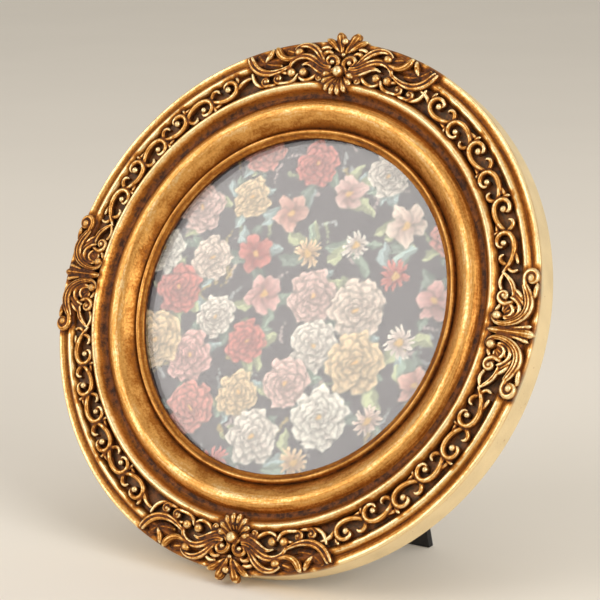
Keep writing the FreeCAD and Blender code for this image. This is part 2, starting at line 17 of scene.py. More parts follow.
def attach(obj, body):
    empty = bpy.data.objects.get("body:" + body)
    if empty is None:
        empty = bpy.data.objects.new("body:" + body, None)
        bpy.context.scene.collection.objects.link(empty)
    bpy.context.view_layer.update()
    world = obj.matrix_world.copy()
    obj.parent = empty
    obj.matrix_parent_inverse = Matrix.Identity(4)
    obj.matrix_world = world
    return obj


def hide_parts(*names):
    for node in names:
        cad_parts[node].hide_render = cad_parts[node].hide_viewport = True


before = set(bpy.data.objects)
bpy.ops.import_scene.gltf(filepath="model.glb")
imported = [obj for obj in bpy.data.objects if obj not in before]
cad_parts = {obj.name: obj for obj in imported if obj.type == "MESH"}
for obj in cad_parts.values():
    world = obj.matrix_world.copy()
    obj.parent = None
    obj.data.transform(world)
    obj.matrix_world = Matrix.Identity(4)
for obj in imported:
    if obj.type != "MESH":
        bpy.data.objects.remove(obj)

LOG = logging.getLogger("photo_frame")
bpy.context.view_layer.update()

Knot = tuple[float, float, float, float]
Colour = tuple[float, float, float]
PATINA_SHADE_HIGHLIGHT_SPAN = (-0.3, 1.0)


class Slot(Enum):
    """The names of the record's material slots. Nothing in this script reads them."""

    GILT = "antique_gilt"
    GLASS = "clear_glass"
    PAPER = "printed_paper"
    CARD = "grey_card"
    BOARD = "fibreboard"
    VELVET = "black_velvet"
    BRASS = "brass"


class Body(Enum):
    """The bodies that the pieces ride on."""

    FRAME = "frame"
    LEG = "leg"
    RING = "hanger_ring"
    UPPER_RIGHT = "turn_button_upper_right"
    UPPER_LEFT = "turn_button_upper_left"
    LOWER_LEFT = "turn_button_lower_left"
    LOWER_RIGHT = "turn_button_lower_right"


@dataclass(frozen=True)
class Stance:
    """How the frame stands on the table: the lean of its back in degrees, where the back face's middle is,
    and how far in front of that face the glass is seated."""

    lean: float = 24.5
    back_y: float = 4.79063
    back_z: float = 68.82530
    seat: float = 5.85

    def placing(self) -> Matrix:
        """Returns: the step from the upright frame in millimetres to its place in metres."""
        tip = Matrix.Rotation(math.radians(-self.lean), 4, "X")
        return Matrix.Scale(0.001, 4) @ Matrix.Translation((0, self.back_y, self.back_z)) @ tip


STANCE = Stance()


# ---------------------------------------------------------------- bench work

def clear_selection() -> None:
    """Leaves object mode with nothing selected."""
    if bpy.context.object and bpy.context.object.mode != "OBJECT":
        bpy.ops.object.mode_set(mode="OBJECT")
    bpy.ops.object.select_all(action="DESELECT")


def pick(piece: bpy.types.Object) -> None:
    """Makes one piece the only selected and active one."""
    clear_selection()
    piece.select_set(True)
    bpy.context.view_layer.objects.active = piece


def join(pieces: Sequence[bpy.types.Object]) -> bpy.types.Object:
    """Joins pieces into the first of them.

    Args:
        pieces: mesh objects, the first of which keeps its name.

    Returns:
        The joined piece.
    """
    pick(pieces[0])
    for piece in pieces[1:]:
        piece.select_set(True)
    if len(pieces) > 1:
        bpy.ops.object.join()
    return bpy.context.view_layer.objects.active


def points_of(piece: bpy.types.Object) -> np.ndarray:
    """Returns: the vertices of a mesh as an array of rows."""
    places = np.empty(3 * len(piece.data.vertices))
    piece.data.vertices.foreach_get("co", places)
    return places.reshape(-1, 3)


def move_points(piece: bpy.types.Object, places: np.ndarray) -> None:
    """Puts a mesh's vertices at new places."""
    piece.data.vertices.foreach_set("co", places.ravel())
    piece.data.update()


def normals_of(piece: bpy.types.Object) -> np.ndarray:
    """Returns: the vertex normals of a mesh as an array of rows."""
    ways = np.empty(3 * len(piece.data.vertices))
    piece.data.vertex_normals.foreach_get("vector", ways)
    return ways.reshape(-1, 3)


def note(piece: bpy.types.Object, name: str, values: np.ndarray) -> None:
    """Stores one number for each vertex of a mesh under a name that a material reads."""
    layer = piece.data.attributes.new(name, "FLOAT", "POINT")
    layer.data.foreach_set("value", np.ascontiguousarray(values, dtype=np.float32))


def smoothstep(low: float, high: float, value: np.ndarray) -> np.ndarray:
    """Returns: 0 below the low value, 1 above the high one, and an even rise between."""
    share = np.clip((value - low) / (high - low), 0, 1)
    return share * share * (3 - 2 * share)


def concavity(piece: bpy.types.Object, rounds: int) -> np.ndarray:
    """How far each vertex lies under the average of its surroundings.

    Args:
        piece: a mesh object.
        rounds: how many times the surroundings are averaged, which sets their reach.

    Returns:
        Millimetres for each vertex, positive in a hollow.
    """
    mesh = piece.data
    ends = np.empty(2 * len(mesh.edges), dtype=np.int64)
    mesh.edges.foreach_get("vertices", ends)
    near, far = ends.reshape(-1, 2).T
    start = points_of(piece)
    count = np.bincount(near, minlength=len(start)) + np.bincount(far, minlength=len(start)) + 1e-9
    level = start.copy()
    for _ in range(rounds):
        total = np.empty_like(level)
        for axis in range(3):
            total[:, axis] = (np.bincount(near, level[far, axis], len(start))
                              + np.bincount(far, level[near, axis], len(start)))
        level = total / count[:, None]
    return np.einsum("ij,ij->i", level - start, normals_of(piece))


@contextmanager
def editing(piece: bpy.types.Object) -> Iterator[None]:
    """Opens a piece in edit mode with everything selected, and closes it again."""
    pick(piece)
    bpy.ops.object.mode_set(mode="EDIT")
    bpy.ops.mesh.select_all(action="SELECT")
    yield
    bpy.ops.object.mode_set(mode="OBJECT")


def recalculate(piece: bpy.types.Object, merge: float = 1e-4) -> None:
    """Merges doubled vertices and turns all faces outwards."""
    with editing(piece):
        bpy.ops.mesh.remove_doubles(threshold=merge)
        bpy.ops.mesh.normals_make_consistent(inside=False)


def apply_modifier(piece: bpy.types.Object, kind: str, **settings: object) -> None:
    """Adds a modifier of a kind with its settings, and applies it."""
    pick(piece)
    modifier = piece.modifiers.new(kind.lower(), kind)
    for name, value in settings.items():
        setattr(modifier, name, value)
    bpy.ops.object.modifier_apply(modifier=modifier.name)


def copied(piece: bpy.types.Object, change: Matrix) -> bpy.types.Object:
    """A copy of a piece with its own mesh, moved by a matrix and turned right side out again."""
    clear_selection()
    twin = piece.copy()
    twin.data = piece.data.copy()
    bpy.context.collection.objects.link(twin)
    twin.data.transform(change)
    if change.determinant() < 0:
        twin.data.flip_normals()
    return twin


def swept(kind: str, lines: Sequence[Sequence[Knot]], radius: float, rounding: int,
          closed: bool = False) -> bpy.types.Object:
    """Sweeps a round bar along lines.

    Args:
        kind: POLY for straight steps, or NURBS for a smooth path.
        lines: each line's knots, as three places and a share of the radius.
        radius: the bar's radius.
        rounding: how finely its section is rounded.
        closed: whether each line joins its own start, with its section turned as little as possible.

    Returns:
        One mesh of all the bars.
    """
    clear_selection()
    bpy.ops.curve.primitive_nurbs_path_add()
    path = bpy.context.object
    path.data.splines.clear()
    path.data.dimensions = "3D"
    path.data.twist_mode = "MINIMUM" if closed else "Z_UP"
    path.data.bevel_depth = radius
    path.data.bevel_resolution = rounding
    path.data.use_fill_caps = not closed
    for line in lines:
        spline = path.data.splines.new(kind)
        spline.points.add(len(line) - 1)
        for point, (x, y, z, share) in zip(spline.points, line):
            point.co = (x, y, z, 1.0)
            point.radius = share
        spline.order_u = 4
        spline.use_cyclic_u = closed
        spline.use_endpoint_u = not closed
        spline.resolution_u = 7
    pick(path)
    bpy.ops.object.convert(target="MESH")
    return bpy.context.object


def settle(piece: bpy.types.Object, name: str, body: Body, finish: bpy.types.Material,
           stands_for: Sequence[str] = (), smooth: float = 40.0) -> bpy.types.Object:
    """Tips a finished piece into its place, dresses it and lets it ride on its body.

    Args:
        piece: a mesh object in the upright frame, in millimetres.
        name: the piece's name.
        body: the body that it moves with.
        finish: its material.
        stands_for: the nodes that it takes the place of.
        smooth: the angle in degrees under which its faces blend.

    Returns:
        The same piece.
    """
    piece.name = name
    piece.data.name = name
    piece.data.transform(STANCE.placing())
    pick(piece)
    bpy.ops.object.shade_smooth_by_angle(angle=math.radians(smooth))
    piece.data.materials.clear()
    piece.data.materials.append(finish)
    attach(piece, body.value)
    if stands_for:
        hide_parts(*stands_for)
    LOG.info("%s: %d faces, rides on %s", name, len(piece.data.polygons), body.value)
    return piece


# ---------------------------------------------------------------- finishes

class Nodes:
    """A short way to write shader nodes into one tree."""

    def __init__(self, tree: bpy.types.NodeTree) -> None:
        """Starts in an empty tree."""
        self.tree = tree

    def feed(self, node: bpy.types.Node, inputs: dict[object, object]) -> None:
        """Sets or links a node's inputs.

        Args:
            node: the node.
            inputs: values or output sockets by the input's name or number.
        """
        for key, value in inputs.items():
            if isinstance(value, bpy.types.NodeSocket):
                self.tree.links.new(value, node.inputs[key])
            else:
                node.inputs[key].default_value = value

    def add(self, kind: str, inputs: dict[object, object] | None = None,
            **settings: object) -> bpy.types.Node:
        """Adds a node.

        Args:
            kind: the node's type without its ShaderNode prefix.
            inputs: values or output sockets by the input's name or number.
            settings: other properties of the node.

        Returns:
            The new node.
        """
        node = self.tree.nodes.new("ShaderNode" + kind)
        for name, value in settings.items():
            setattr(node, name, value)
        self.feed(node, inputs or {})
        return node

    def math(self, operation: str, first: object, second: object = 0.5, clamp: bool = False) -> object:
        """Returns: the output of a Math node over two numbers or sockets."""
        return self.add("Math", {0: first, 1: second}, operation=operation, use_clamp=clamp).outputs[0]

    def total(self, *parts: tuple[object, float]) -> object:
        """Returns: the sum of some sockets, each times its own weight."""
        whole = self.math("MULTIPLY", *parts[0])
        for part in parts[1:]:
            whole = self.math("ADD", whole, self.math("MULTIPLY", *part))
        return whole

    def rest(self, part: object, weight: float, whole: float = 1.0) -> object:
        """Returns: what is left of a whole when a weighted part is taken from it."""
        return self.math("SUBTRACT", whole, self.math("MULTIPLY", part, weight))

    def mix(self, share: object, first: object, second: object, blend: str = "MIX") -> object:
        """Returns: a mix of two colours by a share."""
        node = self.add("Mix", {0: share, 6: first, 7: second}, data_type="RGBA", blend_type=blend)
        return node.outputs[2]

    def ramp(self, value: object, low: float, high: float, start: float = 0.0, end: float = 1.0) -> object:
        """Returns: a value carried smoothly from one span to another, held at its ends."""
        node = self.add("MapRange", {0: value, 1: low, 2: high, 3: start, 4: end},
                        interpolation_type="SMOOTHSTEP")
        return node.outputs[0]

    def place(self) -> object:
        """Returns: the place on the piece, in metres."""
        return self.add("TexCoord").outputs["Object"]

    def noise(self, vector: object, scale: float, detail: float = 3.0, rough: float = 0.55) -> object:
        """Returns: the value of a noise texture."""
        return self.add("TexNoise", {"Vector": vector, "Scale": scale, "Detail": detail,
                                     "Roughness": rough}).outputs[0]

    def dirt(self, group: bpy.types.NodeTree, place: object, grain: float,
             cloud: float) -> tuple[object, object]:
        """Returns: the masks of grains and of clouds that the shared dirt makes at two scales."""
        masks = self.add("Group", {0: place, 1: grain, 2: cloud}, node_tree=group).outputs
        return masks[0], masks[1]

    def bump(self, height: object, strength: float, distance: float) -> object:
        """Returns: the normal of a height that stands out by a distance in metres."""
        return self.add("Bump", {"Height": height, "Strength": strength, "Distance": distance}).outputs[0]


def linear(screen: np.ndarray) -> np.ndarray:
    """Returns: colours written as on a screen, 0 to 255, in the linear values of light."""
    return np.where(screen > 10, ((screen / 255 + 0.055) / 1.055) ** 2.4, screen / 255 / 12.92)


def rgba(colour: Colour, share: float = 1.0) -> tuple[float, ...]:
    """Returns: a share of a screen colour, as the four values that a socket takes."""
    return (*(linear(np.array(colour, float)) * share).tolist(), 1.0)


def blank(name: str) -> tuple[bpy.types.Material, Nodes, bpy.types.Node]:
    """Starts a material.

    Args:
        name: the material's name.

    Returns:
        The material, its node writer and its Principled shader, already wired to the output.
    """
    material = bpy.data.materials.new(name)
    material.use_nodes = True
    material.node_tree.nodes.clear()
    nodes = Nodes(material.node_tree)
    shader = nodes.add("BsdfPrincipled")
    nodes.add("OutputMaterial", {"Surface": shader.outputs[0]})
    return material, nodes, shader


def speckle_group() -> bpy.types.NodeTree:
    """The fine dirt that gilding, brass and flock share.

    Returns:
        A node group that puts out a mask of small grains and one of larger clouds.
    """
    tree = bpy.data.node_groups.new("fine_dirt", "ShaderNodeTree")
    for name, side, kind in (("Vector", "INPUT", "Vector"), ("Grain", "INPUT", "Float"),
                             ("Cloud", "INPUT", "Float"), ("Grains", "OUTPUT", "Float"),
                             ("Clouds", "OUTPUT", "Float")):
        tree.interface.new_socket(name, in_out=side, socket_type="NodeSocket" + kind)
    nodes = Nodes(tree)
    place, grain, cloud = tree.nodes.new("NodeGroupInput").outputs[:3]
    fine = nodes.add("TexNoise", {"Vector": place, "Scale": grain, "Detail": 2.0})
    wide = nodes.add("TexNoise", {"Vector": place, "Scale": cloud, "Detail": 4.0})
    nodes.feed(tree.nodes.new("NodeGroupOutput"), {0: nodes.ramp(fine.outputs[0], 0.35, 0.68),
                                                   1: nodes.ramp(wide.outputs[0], 0.3, 0.7)})
    return tree


@dataclass(frozen=True)
class AntiqueGilt:
    """Bright gold rubbed over dark brown: the hollows keep the brown, and the crests shine. The scales after
    the colours say how fine each pattern is, the last three those of the streaks across the ring's members,
    into their depth and round the ring."""

    name: str = "antique_gilding"
    bright: Colour = (252, 226, 170)
    warm: Colour = (220, 162, 86)
    amber: Colour = (154, 92, 32)
    brown: Colour = (58, 30, 12)
    umber: Colour = (124, 68, 24)
    pale: Colour = (246, 229, 186)
    grain: float = 1400.0
    cloud: float = 90.0
    pit: float = 900.0
    mottle: float = 520.0
    across: float = 900.0
    deep: float = 700.0
    around: float = 4.0

    def round_ring(self, nodes: Nodes, place: object) -> object:
        """Bends places round the ring, so that streaks run along its members.

        Args:
            nodes: the material's node writer.
            place: the place on the piece.

        Returns:
            The direction from the ring's middle, and how far across and deep the place is.
        """
        middle = (0, STANCE.back_y / 1000, STANCE.back_z / 1000)
        upright = nodes.add("VectorMath", {0: place, 1: middle}, operation="SUBTRACT").outputs[0]
        turned = nodes.add("VectorRotate", {0: upright, "Angle": math.radians(STANCE.lean)},
                           rotation_type="X_AXIS").outputs[0]
        x, y, z = nodes.add("SeparateXYZ", {0: turned}).outputs
        flat = nodes.add("CombineXYZ", {0: x, 1: z}).outputs[0]
        radius = nodes.add("VectorMath", {0: flat}, operation="LENGTH").outputs["Value"]
        way = nodes.add("VectorMath", {0: flat}, operation="NORMALIZE").outputs[0]
        right, up, _ = nodes.add("SeparateXYZ", {0: way}).outputs
        return nodes.add("CombineXYZ", {0: nodes.math("MULTIPLY", right, self.around),
                                        1: nodes.math("MULTIPLY", up, self.around),
                                        2: nodes.total((radius, self.across), (y, self.deep))}).outputs[0]

    def build(self, dirt: bpy.types.NodeTree) -> bpy.types.Material:
        """Builds the material.

        Args:
            dirt: the shared group of fine dirt.

        Returns:
            The material, which reads the attribute of patina, painted shade and painted highlight, and the
            attribute matte.
        """
        material, nodes, shader = blank(self.name)
        place = nodes.place()
        streaks = nodes.ramp(nodes.noise(self.round_ring(nodes, place), 1.6, 4.0, 0.6), 0.36, 0.66)
        grains, clouds = nodes.dirt(dirt, place, self.grain, self.cloud)
        pits = nodes.ramp(nodes.noise(place, self.pit, 1.0), 0.74, 0.79)
        # This attribute holds patina together with painted shade and painted highlight.
        patina_shade_and_highlight = nodes.add("Attribute", attribute_name="patina_shade_and_highlight").outputs["Fac"]
        matte = nodes.add("Attribute", attribute_name="matte").outputs["Fac"]
        worn = nodes.math("SUBTRACT", nodes.total((streaks, 0.20), (clouds, 0.10), (grains, 0.12)), 0.20)
        kept = nodes.math("ADD", patina_shade_and_highlight, nodes.math("MULTIPLY", worn, nodes.rest(matte, 0.75)))
        dark = nodes.ramp(kept, 0.42, 0.80)
        # The bright colour of the lowest values stands for rubbed gilding and also for a painted highlight.
        gold = nodes.mix(nodes.ramp(kept, -0.18, 0.16), rgba(self.bright), rgba(self.warm))
        gold = nodes.mix(nodes.ramp(kept, 0.10, 0.52), gold, rgba(self.amber))
        mottle = nodes.ramp(nodes.noise(place, self.mottle, 4.0, 0.65), 0.38, 0.66)
        gold = nodes.mix(dark, gold, nodes.mix(mottle, rgba(self.brown), rgba(self.umber)))
        pale = nodes.mix(clouds, rgba(self.pale), rgba(self.pale, 0.86))
        pale = nodes.mix(nodes.math("MULTIPLY", pits, 0.5), pale, rgba(self.amber))
        relief = nodes.total((streaks, 0.5), (grains, 0.35), (pits, -0.6))
        nodes.feed(shader, {
            "Base Color": nodes.mix(nodes.math("MULTIPLY", matte, 0.85), gold, pale),
            "Metallic": nodes.math("MULTIPLY", nodes.rest(dark, 0.8), nodes.rest(matte, 0.45, 0.92)),
            "Roughness": nodes.math("ADD", nodes.total((kept, 0.24), (matte, 0.20)), 0.38, clamp=True),
            "Specular IOR Level": 0.28,
            "Normal": nodes.bump(relief, 0.35, 0.00025)})
        return material


@dataclass(frozen=True)
class WindowGlass:
    """A clear pane. Light for the shade behind it passes straight through."""

    name: str = "clear_pane"
    tint: Colour = (250, 252, 250)

    def build(self) -> bpy.types.Material:
        """Returns: the glass material."""
        material, nodes, shader = blank(self.name)
        nodes.feed(shader, {"Base Color": rgba(self.tint), "Transmission Weight": 1.0, "Roughness": 0.03,
                            "IOR": 1.5})
        clear = nodes.add("BsdfTransparent", {0: rgba(self.tint)})
        path = nodes.add("LightPath").outputs
        passing = nodes.math("MAXIMUM", path["Is Shadow Ray"], path["Is Diffuse Ray"])
        blend = nodes.add("MixShader", {0: passing, 1: shader.outputs[0], 2: clear.outputs[0]})
        output = next(n for n in material.node_tree.nodes if n.type == "OUTPUT_MATERIAL")
        nodes.feed(output, {"Surface": blend.outputs[0]})
        return material


@dataclass(frozen=True)
class PrintedPaper:
    """Smooth coated paper that carries the painted flowers of its colour attribute."""

    name: str = "printed_paper_face"
    fibre: float = 2500.0

    def build(self) -> bpy.types.Material:
        """Returns: the paper material, which reads the attribute ink."""
        material, nodes, shader = blank(self.name)
        ink = nodes.add("Attribute", attribute_name="ink").outputs["Color"]
        grain = nodes.noise(nodes.place(), self.fibre, 2.0)
        lift = nodes.ramp(grain, 0.3, 0.7, 0.93, 1.04)
        tone = nodes.add("CombineColor", {0: lift, 1: lift, 2: lift}).outputs[0]
        nodes.feed(shader, {"Base Color": nodes.mix(1.0, ink, tone, "MULTIPLY"),
                            "Roughness": nodes.ramp(grain, 0.3, 0.7, 0.42, 0.58),
                            "Normal": nodes.bump(grain, 0.15, 0.0001)})
        return material


@dataclass(frozen=True)
class Fibrous:
    """Pressed fibres: the grey card, the brown board and the leg's dyed board."""

    name: str
    light: Colour
    shade: Colour
    fibre: float = 700.0

    def build(self) -> bpy.types.Material:
        """Returns: the card or board material."""
        material, nodes, shader = blank(self.name)
        grain = nodes.noise(nodes.place(), self.fibre, 4.0, 0.7)
        colour = nodes.mix(nodes.ramp(grain, 0.35, 0.65), rgba(self.shade), rgba(self.light))
        nodes.feed(shader, {"Base Color": colour, "Roughness": nodes.ramp(grain, 0.3, 0.7, 0.75, 0.95),
                            "Normal": nodes.bump(grain, 0.5, 0.0002)})
        return material


@dataclass(frozen=True)
class Velvet:
    """Black flock: short fibres with a soft sheen, brushed unevenly and lightly dusted."""

    name: str = "black_flock"
    deep: Colour = (18, 18, 20)
    brushed: Colour = (44, 43, 46)
    dust: Colour = (92, 90, 88)
    fibre: float = 3800.0
    grain: float = 5200.0
    cloud: float = 60.0

    def build(self, dirt: bpy.types.NodeTree) -> bpy.types.Material:
        """Builds the material.

        Args:
            dirt: the shared group of fine dirt.

        Returns:
            The flock material.
        """
        material, nodes, shader = blank(self.name)
        place = nodes.place()
        grains, clouds = nodes.dirt(dirt, place, self.grain, self.cloud)
        fibres = nodes.noise(place, self.fibre, 2.0)
        colour = nodes.mix(nodes.ramp(clouds, 0.2, 0.9), rgba(self.deep), rgba(self.brushed))
        specks = nodes.ramp(nodes.noise(place, 420.0, 2.0), 0.70, 0.78)
        nodes.feed(shader, {
            "Base Color": nodes.mix(nodes.math("MULTIPLY", specks, 0.35), colour, rgba(self.dust)),
            "Roughness": nodes.ramp(fibres, 0.3, 0.7, 0.85, 1.0),
            "Sheen Weight": 0.55, "Sheen Roughness": 0.45, "Specular IOR Level": 0.15,
            "Normal": nodes.bump(nodes.total((fibres, 1.0), (grains, 0.6)), 0.7, 0.00025)})
        return material


@dataclass(frozen=True)
class StampedBrass:
    """Plated sheet brass with rolling lines, finger tarnish and small scratches."""

    name: str = "stamped_brass"
    bright: Colour = (236, 200, 128)
    tarnish: Colour = (150, 112, 58)
    rolled: tuple[float, float, float] = (140.0, 2600.0, 2600.0)
    grain: float = 1600.0
    cloud: float = 170.0

    def build(self, dirt: bpy.types.NodeTree) -> bpy.types.Material:
        """Builds the material.

        Args:
            dirt: the shared group of fine dirt.

        Returns:
            The brass material.
        """
        material, nodes, shader = blank(self.name)
        place = nodes.place()
        lines = nodes.noise(nodes.add("Mapping", {"Vector": place, "Scale": self.rolled}).outputs[0], 1.0)
        grains, clouds = nodes.dirt(dirt, place, self.grain, self.cloud)
        aged = nodes.total((clouds, 0.55), (grains, 0.2))
        nodes.feed(shader, {"Base Color": nodes.mix(aged, rgba(self.bright), rgba(self.tarnish)),
                            "Metallic": 1.0, "Roughness": nodes.ramp(lines, 0.3, 0.7, 0.24, 0.42),
                            "Normal": nodes.bump(lines, 0.2, 0.0001)})
        return material


class Finishes:
    """Every finish of the frame, built once."""

    def __init__(self) -> None:
        """Builds the shared dirt and each material."""
        dirt = speckle_group()
        self.gilt = AntiqueGilt().build(dirt)
        self.glass = WindowGlass().build()
        self.paper = PrintedPaper().build()
        self.card = Fibrous("grey_card_face", (150, 148, 142), (118, 116, 110)).build()
        self.board = Fibrous("brown_fibreboard", (128, 94, 62), (84, 58, 36), 520.0).build()
        self.dyed = Fibrous("black_dyed_board", (40, 38, 38), (20, 19, 20), 900.0).build()
        self.velvet = Velvet().build(dirt)
        self.brass = StampedBrass().build(dirt)


# ---------------------------------------------------------------- the cast ring

@dataclass(frozen=True)
class Station:
    """One point of the moulding's section, with how dark and how matte the gilding is there."""

    radius: float
    rise: float
    patina_shade_and_highlight: float
    matte: float = 0.0


def bow(start: Station, crest: Station, end: Station, count: int) -> list[Station]:
    """A smooth curve through three stations.

    Args:
        start: where it begins, which the list leaves out.
        crest: a station that it passes halfway.
        end: where it ends.
        count: how many stations to make.

    Returns:
        The stations after the start.
    """
    a, b, c = (np.array([s.radius, s.rise, s.patina_shade_and_highlight, s.matte]) for s in (start, crest, end))
    shares = np.linspace(0, 1, count + 1)[1:]
    control = 2 * b - (a + c) / 2
    return [Station(*((1 - t) ** 2 * a + 2 * t * (1 - t) * control + t * t * c)) for t in shares]


@dataclass
class GiltRing:
    """The moulding's plain members: rim, fascia, beads, frieze, cove, torus, lip and rabbet. The sizes of the
    contact darkening say outside which radius and above which rise the ring darkens round the carving, as
    patina and as painted contact shade, how far it reaches, and how dark it is at most and how much of that
    it loses at its reach."""

    outer: float = 76.0
    rabbet: float = 51.6
    sight: float = 48.0
    chamfer: float = 0.8
    turns: int = 480
    shade_and_patina_from: float = 60.5
    shade_and_patina_above: float = 2.0
    shade_and_patina_reach: float = 1.5
    shade_and_patina_most: float = 0.9
    shade_and_patina_fade: float = 0.75

    def section(self) -> list[Station]:
        """Returns: the closed section, from the rabbet round the back and the rim to the sight edge."""
        back = -STANCE.seat
        # Rabbet, back face and chamfer.
        run = [Station(self.rabbet, back, 0.5, 1), Station(64.0, back, 0.3, 1),
               Station(self.outer - self.chamfer, back, 0.3, 1),
               Station(self.outer, back + self.chamfer, 0.25, 1)]
        # Side, which stays matte, and rounded rim, whose crest is lightened as rubbed gilding and as a
        # painted highlight.
        run += [Station(self.outer, rise, patina_shade_and_highlight, 1)
                for rise, patina_shade_and_highlight in ((-4.9, 0.2), (-3.0, 0.16), (-1.0, 0.14), (1.0, 0.12), (2.2, 0.1))]
        run.append(Station(self.outer, 2.55, 0.08, 0.6))
        run += bow(run[-1], Station(75.78, 3.28, -0.15, 0.1), Station(75.1, 3.4, -0.05), 7)
        # Fascia and outer bead, whose crest is lightened as rubbed gilding and as a painted highlight.
        run += bow(run[-1], Station(74.2, 3.05, 0.4), Station(73.55, 2.72, 0.62), 5)
        run.append(Station(73.38, 2.70, 0.74))
        run += bow(run[-1], Station(71.95, 3.95, -0.22), Station(70.62, 2.7, 0.55), 14)
        # Sunk frieze, dark along both its edges.
        run += [Station(70.5, 2.4, 0.95), Station(70.2, 2.3, 0.9, 0.04), Station(69.0, 2.3, 0.76, 0.07),
                Station(67.35, 2.3, 0.74, 0.08), Station(65.6, 2.3, 0.8, 0.05), Station(64.5, 2.3, 0.98),
                Station(64.25, 2.45, 0.98), Station(64.2, 3.0, 0.8), Station(64.15, 3.8, 0.5)]
        # Inner bead, cove and torus.
        run += bow(run[-1], Station(62.75, 5.5, -0.12), Station(61.3, 3.9, 0.5), 14)
        run += bow(run[-1], Station(60.35, 3.05, 0.72), Station(59.1, 2.98, 0.8), 6)
        run.append(Station(58.95, 3.06, 0.55))
        run += bow(run[-1], Station(55.5, 4.72, 0.12), Station(50.95, 1.15, 0.58), 22)
        # Groove, lip bead, sight slope and the seat of the glass.
        run.append(Station(50.85, 0.95, 1.0))
        run += bow(run[-1], Station(50.0, 2.1, 0.24), Station(49.25, 1.7, 0.45), 8)
        run += [Station(49.1, 1.62, 0.6), Station(48.5, 1.42, 0.45), Station(48.12, 1.22, 0.4),
                Station(self.sight, 1.1, 0.5), Station(self.sight, 0.6, 0.8), Station(self.sight, 0.02, 0.9),
                Station(self.sight + 1, 0.0, 0.9, 1), Station(self.rabbet, 0.0, 0.9, 1),
                Station(self.rabbet, -2.5, 0.7, 1)]
        return run

    def build(self, carving: Iterable[bpy.types.Object], finish: bpy.types.Material) -> bpy.types.Object:
        """Spins the section round the frame, gives it patina by member, and darkens it next to the carving as
        patina and painted contact shade.

        Args:
            carving: the carved pieces, still in the upright frame, next to which patina and painted contact
                shade gather.
            finish: the gilding.

        Returns:
            The ring.
        """
        stations = self.section()
        clear_selection()
        bpy.ops.mesh.primitive_circle_add(vertices=len(stations), radius=self.outer)
        ring = bpy.context.object
        move_points(ring, np.array([[s.radius, -(STANCE.seat + s.rise), 0.0] for s in stations]))
        with editing(ring):
            bpy.ops.mesh.spin(steps=self.turns, angle=2 * math.pi, center=(0, 0, 0), axis=(0, 1, 0))
        recalculate(ring, 1e-3)
        places = points_of(ring)
        around, rise = np.hypot(places[:, 0], places[:, 2]), -places[:, 1] - STANCE.seat
        table = np.array([[s.radius, s.rise, s.patina_shade_and_highlight, s.matte] for s in stations])
        nearest = np.argmin((around[:, None] - table[:, 0]) ** 2 + (rise[:, None] - table[:, 1]) ** 2, axis=1)
        patina_shade_and_highlight, matte = table[nearest, 2], table[nearest, 3]
        roots = np.vstack([points_of(piece)[::3] for piece in carving])
        tree = KDTree(len(roots))
        for index, root in enumerate(roots):
            tree.insert(root, index)
        tree.balance()
        # Patina and painted contact shade: the ring darkens next to the carving, less with distance from it.
        for index in np.flatnonzero((around > self.shade_and_patina_from) & (rise > self.shade_and_patina_above)):
            gap = tree.find(places[index])[2]
            if gap < self.shade_and_patina_reach:
                dirt = self.shade_and_patina_most - self.shade_and_patina_fade * gap / self.shade_and_patina_reach
                patina_shade_and_highlight[index] = max(patina_shade_and_highlight[index], dirt)
        note(ring, "patina_shade_and_highlight", patina_shade_and_highlight)
        note(ring, "matte", matte)
        return settle(ring, "gilt_ring", Body.FRAME, finish, ["moulding"], 50.0)


# ---------------------------------------------------------------- carving

def curl(u: float, v: float, start: float, sweep: float, wide: float, narrow: float,
         crest: float, thick: float, thin: float) -> list[Knot]:
    """The knots of a volute.

    Args:
        u: its eye, along the frieze.
        v: its eye, outwards across the frieze.
        start: the angle in degrees at which it begins, seen from its eye.
        sweep: how far it turns, positive anticlockwise.
        wide: its radius where it begins.
        narrow: its radius where it ends.
        crest: the rise of its ridge.
        thick: its half width where it begins.
        thin: its half width where it ends.

    Returns:
        Knots of place, rise and half width.
    """
    steps = max(3, round(abs(sweep) / 38))
    knots = []
    for index in range(steps + 1):
        share = index / steps
        angle = math.radians(start + sweep * share)
        radius = wide * (narrow / wide) ** share
        knots.append((u + radius * math.cos(angle), v + radius * math.sin(angle), crest,
                      thick + (thin - thick) * share))
    return knots


def nosed(knots: Sequence[Knot]) -> list[Knot]:
    """A strand with a small rounded nose at each end.

    Args:
        knots: the strand's knots.

    Returns:
        The knots with one more beyond each end, where the strand closes.
    """
    ends = []
    for tip, inner in ((knots[0], knots[1]), (knots[-1], knots[-2])):
        du, dv = tip[0] - inner[0], tip[1] - inner[1]
        reach = 0.7 * tip[3] / math.hypot(du, dv)
        ends.append((tip[0] + du * reach, tip[1] + dv * reach, tip[2] - 0.5 * tip[3], 0.25 * tip[3]))
    return [ends[0], *knots, ends[1]]


